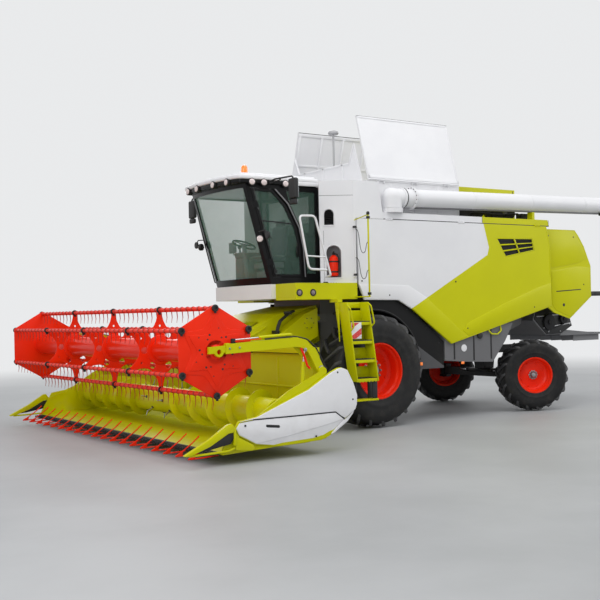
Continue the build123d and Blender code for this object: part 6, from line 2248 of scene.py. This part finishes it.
@dataclass
class Rear:
    """Engine hood louvres, exhaust, rear hood folds, chopper drive and spreader fins."""

    drive_boxes: tuple[Point, ...] = ((2180, 2420, 3600), (2460, 2600, 3660), (2980, 3240, 3610),
                                      (3280, 3420, 3560), (3700, 3880, 3590))
    pulleys: tuple[Point, ...] = ((2700, 3590, 96), (2880, 3570, 70), (3480, 3580, 84))
    drive_hose: tuple[Point, ...] = ((2300, -1000, 3500), (2500, -1130, 3560), (3100, -1130, 3540),
                                     (3600, -1120, 3575), (3860, -1000, 3480))
    exhaust: tuple[Point, ...] = ((3560, -860, 3440), (3560, -860, 3760), (3640, -880, 3880))
    exhaust_foot: Outline = ((0, 3445), (110, 3445), (110, 3462), (64, 3470), (0, 3470))
    screen: Point = (3500.0, 1296.0, 3770.0)
    screen_rings: int = 5
    lobe: Outline = ((4299, 1852), (4360, 1800), (4720, 1672), (4800, 1690), (5290, 2052), (5316, 2120),
                     (5316, 2600), (4955, 2624), (4265, 2528), (4240, 2480), (4250, 1920))
    shoulder: Outline = ((4118, 3285), (4880, 3285), (4965, 3190), (5120, 2985), (5230, 2770), (4960, 2680),
                         (4262, 2584), (4118, 2600))
    hood_studs: Outline = ((4180, 3180), (4180, 2720), (4860, 3170), (5120, 2280))
    chopper_plate: Outline = ((4190, 1640), (4262, 1880), (5070, 1880), (5210, 1500), (4900, 1352),
                              (4510, 1352))
    chopper_studs: Outline = ((4300, 1830), (5020, 1840), (5150, 1530), (4560, 1400), (4880, 1400))
    chopper_pulleys: tuple[Point, ...] = ((4560, 1580, 150), (4960, 1640, 96))
    fin: Outline = ((5320, 1318), (6060, 1318), (6060, 1202), (5560, 1202), (5340, 1262))

    def deck(self) -> None:
        """Builds what stands on the engine deck."""
        drive, vents, pipe, screen, gap = (Form() for _ in range(5))
        for x in range(2430, 2911, 60):
            vents.side([(x, 3560), (x + 34, 3560), (x + 34, 3960), (x, 3960)], -709, -698, 4)
        vents.blocks((((2500, y, 4064), (3000, y + 32, 4079)) for y in range(-420, 211, 70)), 4)
        vents.blocks(((x, -706, 3470), (x + 8, -698, 4050)) for x in (2410, 3900))
        pipe.pipe(self.exhaust, 62, 80, 5)
        pipe.turned(self.exhaust_foot, (3560, -860, 0), UP, 40, 3)
        x, y, z = self.screen
        screen.studs(((x, z),), y, y + 64, 268, 64, 8)
        for k in range(self.screen_rings):
            ring = 52 * (k + 1)
            screen.turned(collar(ring - 5, ring + 1, 60, 72), self.screen, steps=56)
        screen.block((x - 18, y + 58, z - 260), (x + 18, y + 80, z + 260), 8)
        # The drive boxes, pulleys and hose are near-black: painted shade on what shows between the deck and
        # the unloading tube.
        for x0, x1, top in self.drive_boxes:
            drive.block((x0, -1110, 3446), (x1, -960, top), 14, 3)
        for x, z, r in self.pulleys:
            drive.turned([(0, 0), (r, 0), (r, 10), (r - 12, 22), (r, 34), (r, 44), (r * 0.4, 50), (0, 50)],
                         (x, -1040, z), (0, -1, 0), 40)
            drive.block((x - 26, -1080, 3446), (x + 26, -1030, z), 6)
        drive.pipe(self.drive_hose, 16, 80)
        gap.block((-330, -1424, 3330), (4066, -1412, 3346), 2)
        gap.blocks(((x, -1423, 3350), (x + 6, -1417, 3445)) for x in (2408, 4058))
        drive.piece("deck_drive", Finishes.vent_dark)
        vents.piece("hood_louvres", Finishes.black)
        pipe.piece("exhaust", Finishes.iron)
        screen.piece("dust_screen", Finishes.black)
        gap.both_sides().piece("deck_gap_lines", Finishes.black)

    def hood(self) -> None:
        """Builds the folds, lamps and ledges on the rear hood."""
        folds, dark, tail = Form(), Form(), Form()
        folds.side(self.lobe, -1305, -1296, 7, 3)
        folds.side(self.shoulder, -1304, -1297, 5, 3)
        dark.side([(4365, 2160), (5038, 2195), (5038, 2177), (4365, 2142)], -1308, -1299, 3)
        dark.side([(4070, 3322), (4079, 3322), (4079, 1906), (4070, 1906)], -1306, -1298)
        dark.studs(((4560, 1900),), -1307, -1299, 30, 40, 2)
        dark.studs(self.hood_studs, -1309, -1299, 13, 20, 2)
        hand_out("machine", (folds, "rear_hood_folds", Finishes.lime),
                 (dark, "rear_hood_dark_trim", Finishes.black))
        for y in (-900, -300, 300, 900):
            tail.plate([(5344, y - 22, 2640), (5344, y + 22, 2640), (5156, y + 22, 3018),
                        (5156, y - 22, 3018)], (4, 0, 3), 1.5)
        tail.block((5340, -1200, 2240), (5352, 1200, 2290), 4)
        tail.block((5343, -90, 2330), (5372, 90, 2356), 6)
        tail.piece("tail_door_ribs", Finishes.lime, "rear_door")

    def chopper(self) -> None:
        """Builds the chopper's side plates, knives' drive and spreader fins."""
        plates, bars, belts, fins = (Form() for _ in range(4))
        plates.side(self.chopper_plate, -912, -899, 4)
        bars.side([(4240, 1700), (5110, 1742), (5118, 1722), (4246, 1680)], -920, -909, 2.5)
        bars.side([(4420, 1480), (5180, 1560), (5186, 1540), (4426, 1460)], -920, -909, 2.5)
        bars.studs(self.chopper_studs, -922, -908, 15, 6, 2)
        for x, z, r in self.chopper_pulleys:
            belts.turned([(0, 0), (r * 0.32, 0), (r * 0.34, 14), (r * 0.8, 18), (r, 4), (r, 12), (r - 12, 22),
                          (r, 32), (r, 40), (r * 0.3, 44), (r * 0.3, 60), (0, 60)],
                         (x, -914, z), (0, -1, 0), 48)
        belts.pipe([(4530, -936, 1728), (4945, -936, 1736)], 9)
        belts.pipe([(4585, -936, 1432), (4975, -936, 1545)], 9)
        hand_out("machine", (plates, "chopper_plates", Finishes.black),
                 (bars, "chopper_bars", Finishes.steel), (belts, "chopper_pulleys", Finishes.frame_dark))
        for y in range(-840, 841, 280):
            fins.side(self.fin, y - 4, y + 4, 1.5)
        fins.block((6108, -880, 1330), (6138, 880, 1352), 5)
        fins.piece("spreader_fins", Finishes.black)

    def build(self) -> None:
        """Builds the whole rear."""
        self.deck()
        self.hood()
        self.chopper()


@dataclass
class Steps:
    """The boarding ladder, the walkway's tread and the rails' fittings."""

    ladder_x: float = -870.0
    wide: float = 400.0
    lean: float = 0.139
    top_z: float = 2000.0
    low_z: float = 780.0
    outer_y: float = -1870.0
    inner_y: float = -1650.0
    step_z: tuple[float, ...] = (1710.0, 1420.0, 1130.0, 840.0)
    saw_teeth: int = 14
    tooth: Outline = ((4, 792), (16, 770), (40, 770), (52, 792))
    gusset: Outline = ((-1560, 2000), (-1575, 1880), (-1640, 1560), (-1652, 1400), (-1660, 1400),
                       (-1660, 1990))
    guard_rail: tuple[Point, ...] = (
        (-930, -1420, 2310), (-930, -1420, 2400), (-930, -1560, 2420), (-1205, -1560, 3325),
        (-1487, -1560, 3318), (-1330, -1560, 2515), (-1000, -1560, 2505))
    grip: tuple[Point, ...] = ((-400, -1410, 3190), (-400, -1490, 3190), (-400, -1490, 2400),
                               (-400, -1410, 2400))

    def x_at(self, z: float) -> float:
        """The front edge of the ladder at a height."""
        return self.ladder_x + (self.top_z - z) * self.lean

    def treads(self, frame: Form, treads: Form) -> None:
        """Builds the steps.

        Args:
            frame: Where the sheets go.
            treads: Where the grips go.
        """
        outer, inner = self.outer_y, self.inner_y
        for z in self.step_z:
            x = self.x_at(z)
            near, far = x + 14, x + self.wide + 10
            frame.blocks((((near, outer + 10, z - 62), (far, outer + 18, z - 2)),
                          ((near, inner - 22, z - 52), (far, inner - 12, z - 2))), 3)
            frame.block((near, outer + 10, z - 12), (far, inner - 10, z - 5), 2)
            frame.side([(near + 2, z - 4), (far - 4, z - 4), (far - 26, z + 165), (x - 6, z + 165)],
                       inner - 22, inner - 13, 3)

            def studs(into: Form) -> None:
                """One row of grip studs on a step."""
                for y in range(36, 187, 30):
                    into.rod((x + 44, outer + y, z - 7), (x + 44, outer + y, z), 8.5, tip=6.5, sides=10)
            treads.row_of(11, (32, 0, 0), studs)
            treads.block((x + 18, outer + 9, z - 16), (x + self.wide + 8, outer + 24, z + 0.5), 3)

    def foot(self) -> Form:
        """The lowest step with its saw-toothed edge.

        Returns:
            The form.
        """
        x, y, end = self.x_at(self.low_z), self.outer_y, self.x_at(self.low_z) + self.wide + 25
        saw = [(x, y + 20)]
        for k in range(self.saw_teeth):
            tooth = x + (self.wide + 25) * k / self.saw_teeth
            saw += [(tooth + 6, y + 12), (tooth + 22, y + 12), (tooth + 30, y + 20)]
        form = Form()
        form.plan([*saw, (end, y + 20), (end, self.inner_y - 20), (x, self.inner_y - 20)], 480, 508, 2)
        return form

    def ladder(self) -> None:
        """Builds the ladder."""
        frame, treads, rails, board, stripes = (Form() for _ in range(5))
        top, low, outer, inner, head = self.top_z, self.low_z, self.outer_y, self.inner_y, self.top_z - 90
        for shift in (0, self.wide):
            x0, x1 = self.x_at(top) + shift, self.x_at(low) + shift
            frame.side([(x0, top), (x0 + 25, top), (x1 + 25, low), (x1, low)], outer, inner, 5)
        self.treads(frame, treads)
        frame.blocks((((self.ladder_x, inner - 25, head), (self.ladder_x + self.wide + 25, inner, top)),
                      ((self.ladder_x, inner - 1, head), (self.ladder_x + 110, -1580, top))), 6)
        frame.turned(collar(18.1, 45, head, top), (-800, -1560, 0), UP, 36, 2.5)
        frame.cross(self.gusset, self.ladder_x + 2, self.ladder_x + 20, 4)
        for x, wide in ((self.x_at(low) + 2, 20), (self.x_at(low) + self.wide - 76, 98)):
            treads.blocks((((x, outer + 42, 500), (x + wide, outer + 54, 800)),
                           ((x, inner - 56, 500), (x + wide, inner - 44, 800))), 5)
        start, end = self.x_at(778), self.x_at(838) + self.wide - 2
        teeth = [(start + 30 + 62 * k + x, z) for k in range(6) for x, z in self.tooth]
        frame.side([(start + 24, 838), (start + 24, 792), *teeth, (end, 792), (end, 838)],
                   outer + 9, outer + 15, 1.5)
        for shift, above, below in ((12, 1950, 1560), (self.wide + 14, 1985, 1620)):
            x0, x1 = self.x_at(above) + shift, self.x_at(below) + shift
            rails.pipe([(x0, outer + 8, above), (x0, outer - 62, above - 40),
                        (x1 + 12, outer - 62, below + 60), (x1, outer + 8, below)], 12, 70)
        x, y = self.x_at(1560) + 26, outer + 4
        board.block((x, y, 1440), (x + 190, y + 8, 1690), 4)
        stripes.side([(x + 5, 1686), (x + 5, 1596), (x + 150, 1686)], y - 1.5, y + 3)
        stripes.side([(x + 5, 1490), (x + 185, 1604), (x + 185, 1510), (x + 80, 1444), (x + 5, 1444)],
                     y - 1.5, y + 3)
        for form, name, finish, node in ((frame, "frame", Finishes.lime, "ladder"),
                                         (treads, "treads", Finishes.black, ""),
                                         (self.foot(), "foot", Finishes.lime, ""),
                                         (rails, "hand_loops", Finishes.lime, ""),
                                         (board, "reflector_board", Finishes.white, ""),
                                         (stripes, "reflector_fields", Finishes.red_lens, "")):
            form.piece(f"ladder_{name}", finish, "swing_ladder", node)

    def build(self) -> None:
        """Builds ladder, tread and fittings."""
        self.ladder()
        tread, fittings, bar, rail, pole = (Form() for _ in range(5))

        def stud(into: Form) -> None:
            """One grip stud of the walkway."""
            into.rod((-1480, -1420, 2308), (-1480, -1420, 2314), 9, tip=6, sides=8)

        def row(into: Form) -> None:
            """One row of studs."""
            into.row_of(9, (0, 62, 0), stud)
        tread.row_of(17, (50, 0, 0), row)
        tread.block((-1496, -1434, 2306), (-668, -900, 2310.5), 1)
        fittings.ball((-372, -1800, 3374), 27, (1, 1, 1.15))
        fittings.blocks((((-394, -1824, z), (-350, -1776, z + 40)) for z in (2110, 3290)), 6)
        fittings.blocks((((-424, -1514, z), (-376, -1464, z + 34)) for z in (2420, 3170)), 6)
        fittings.rod((-930, -1420, 2309), (-930, -1420, 2326), 38, sides=28, edge=3)
        bar.pipe([(-1015, -1560, 2700), (-1368, -1560, 2716)], 12)
        rail.pipe(self.guard_rail, 17, 140, 5)
        rail.pipe(self.grip, 12, 40, 4)
        pole.rod((-372, -1800, 2075), (-372, -1800, 3370), 14, sides=24, edge=2)
        pole.block((-386, -1810, 2075), (-358, -1448, 2095), 4)
        pole.rod((-372, -1800, 3355), (-372, -1446, 3300), 8, sides=16)
        tread.piece("walkway_tread", Finishes.grey)
        rail.piece("hand_rails", Finishes.white, replaces="handrails")
        pole.piece("mirror_pole", Finishes.lime)
        fittings.piece("rail_clamps", Finishes.black)
        bar.piece("rail_crossbar", Finishes.white)


@dataclass
class Front:
    """Feeder house ribs, drive and pipes, cylinder glands, mudguard and belly trim, steering."""

    feeder_y: float = -700.0
    rib_lines: tuple[Outline, ...] = (((-2230, 1230), (-1860, 1530), (-1580, 1664)),
                                      ((-2230, 520), (-1500, 1000), (-640, 1440)))
    posts: tuple[Point, ...] = ((-2180, 560, 1240), (-1820, 800, 1500), (-1740, 860, 1560))
    guards: Outline = ((-1420, 1430), (-930, 1690))
    pipes: tuple[Point, ...] = ((-1150, 0, 1890), (-1250, 0, 1846), (-1408, 0, 1736), (-1452, 0, 1630),
                                (-1484, 0, 1500))
    clips: Outline = ((-1230, 1858), (-1466, 1560))
    lift_foot: Point = (-190.0, 560.0, 820.0)
    lift_pin: Point = (-1480.0, 560.0, 905.0)
    gland: Outline = ((31, 935), (55, 935), (57, 941), (57, 975), (50, 984), (31, 984))
    guard_radius: float = 980.0
    axle_z: float = 905.0
    lip_bolts: Outline = ((143, 2020), (700, 1880), (1100, 1560), (1380, 1300))
    straps: tuple[Point, ...] = ((1700, 1010, 1560), (2150, 975, 1590), (2560, 985, 1590))
    loop: tuple[Point, ...] = ((2490, -1400, 1560), (2500, -1432, 1480), (2560, -1440, 1418),
                               (2700, -1440, 1410), (2800, -1432, 1470), (2806, -1400, 1560))
    steer: Flat = (3640.0, 690.0)

    def feeder(self) -> None:
        """Builds the feeder house's ribs, covers, drive and pipes."""
        ribs, cover, dark, bright = (Form() for _ in range(4))
        y = self.feeder_y
        for line in self.rib_lines:
            for (x0, z0), (x1, z1) in zip(line, line[1:]):
                ribs.side([(x0, z0), (x1, z1), (x1, z1 - 34), (x0, z0 - 34)], y - 14, y + 2, 5)
        ribs.blocks((((x, y - 12, z0), (x + 36, y + 2, z1)) for x, z0, z1 in self.posts), 5)
        ribs.plate([(-1840, -560, 1627), (-1640, -560, 1723), (-1640, 560, 1723), (-1840, 560, 1627)],
                   (-4, 0, 10), 4)
        lower, upper = self.guards
        cover.studs((lower,), -929, -938, 128, 48, 5)
        cover.studs((lower,), -936, -952, 62, 32, 5)
        cover.studs((upper,), -929, -938, 100, 48, 5)
        dark.rod((-1540, -905, 1220), (-2150, -930, 880), 52, tip=46, sides=28, edge=4)
        dark.rod((-1520, -904, 1231), (-1600, -908, 1187), 82, tip=64, sides=32, edge=6)
        dark.rod((-2150, -930, 880), (-2240, -934, 830), 78, tip=84, sides=32, edge=6)
        for x, z in self.guards:
            round_cover = (on_circle(84, math.tau * k / 6) for k in range(6))
            dark.studs([(x + out, z + up) for out, up in round_cover], -937, -944, 9, 6)
        for y, radius in ((-850, 19), (-806, 15)):
            dark.pipe([(x, y, z) for x, _, z in self.pipes], radius)
        dark.blocks((((x - 22, -878, z - 26), (x + 22, -696, z + 26)) for x, z in self.clips), 7)
        dark.pipe([(-2290, -860, 1150), (-2270, -860, 1310), (-2180, -845, 1360)], 15, 50)
        bright.turned(collar(20, 62, -40, 40), (-2110, -928, 902), (-0.87, 0, -0.48), 32, 3)
        ribs.both_sides().piece("feeder_ribs", Finishes.lime, "header")
        cover.piece("feeder_guard_covers", Finishes.lime, "header")
        dark.piece("feeder_drive_and_pipes", Finishes.black, "header")
        bright.piece("feeder_shaft_collar", Finishes.steel, "header")

    def glands(self) -> None:
        """Builds the glands and ports of both lift cylinders."""
        gland = Form()
        foot = Vector(self.lift_foot)
        along = (Vector(self.lift_pin) - foot).normalized()
        gland.turned(self.gland, foot, along, 36, 2)
        port = foot + along * 210
        gland.rod(port + Vector((0, 0, 48)), port + Vector((0, 0, 86)), 13, sides=6)
        gland.both_sides().piece("lift_cylinder_glands", Finishes.frame_dark, "lift_cylinder")

    def flanks(self) -> None:
        """Builds the mudguards' lips and what hangs below the side panels."""
        lip, belly, plate, marks, loop = (Form() for _ in range(5))
        arc = (on_circle(self.guard_radius, math.radians(a)) for a in range(8, 104, 4))
        lip.pipe([(x, -1392, self.axle_z + up) for x, up in arc], 11, 6, 2)
        lip.studs(self.lip_bolts, -1400, -1390, 12, 6, 1.5)
        belly.blocks((((x, -1411, z0), (x + 30, -1402, z1)) for x, z0, z1 in self.straps), 3)
        belly.studs(((2300, 1400),), -1404, -1432, 58, 40, 5)
        plate.studs(((1935, 1195),), -1404, -1411, 62, 48, 2)
        marks.blocks((((958, -1408, 940), (1010, -1392, 994)),
                      ((1862, -1418, 924), (1930, -1402, 966))), 7, 3)
        loop.pipe(self.loop, 12)
        hand_out("machine", (lip, "mudguard_lips", Finishes.black), (loop, "belly_loops", Finishes.lime),
                 (belly, "belly_tank_straps", Finishes.black), (plate, "blank_round_plates", Finishes.white),
                 (marks, "side_marker_lamps", Finishes.amber))

    def steering(self) -> None:
        """Builds the steering cylinder and its rod."""
        steer, rod = Form(), Form()
        x, z = self.steer
        steer.studs((self.steer,), -330, 330, 36, 28, 4)
        bolts = [(x + out, z + up) for out, up in (on_circle(20, math.tau * k / 5) for k in range(5))]
        for out in (-1, 1):
            y = out * 330
            steer.studs((self.steer,), y - 16, y + 16, 43, 28, 3)
            steer.block((x - 10, y - 26, z - 40), (x + 60, y + 26, z + 40), 8)
            steer.studs(bolts, out * 343, out * 352, 5, 6)
        rod.studs((self.steer,), -560, 560, 17, 20, 2)
        steer.piece("steering_cylinder", Finishes.frame_dark)
        rod.piece("steering_rod", Finishes.chrome)

    def build(self) -> None:
        """Builds the details between header and rear axle."""
        self.feeder()
        self.glands()
        self.flanks()
        self.steering()


PARTS = (Wheels, Reel, ReelArms, Auger, Knife, Header, Roof, Tail, CabTrim, Mirrors, CabInside, Tower,
         SideDoors, Tank, Rear, Steps, Front)


def main() -> None:
    """Builds every sub-assembly."""
    logging.basicConfig(level=logging.INFO, format="%(name)s: %(message)s")
    Studio().build()
    SlackCords().build()
    Dressing().build()
    for part in PARTS:
        part().build()
        log.info("%s done", part.__name__)


if __name__ == "__main__":
    main()
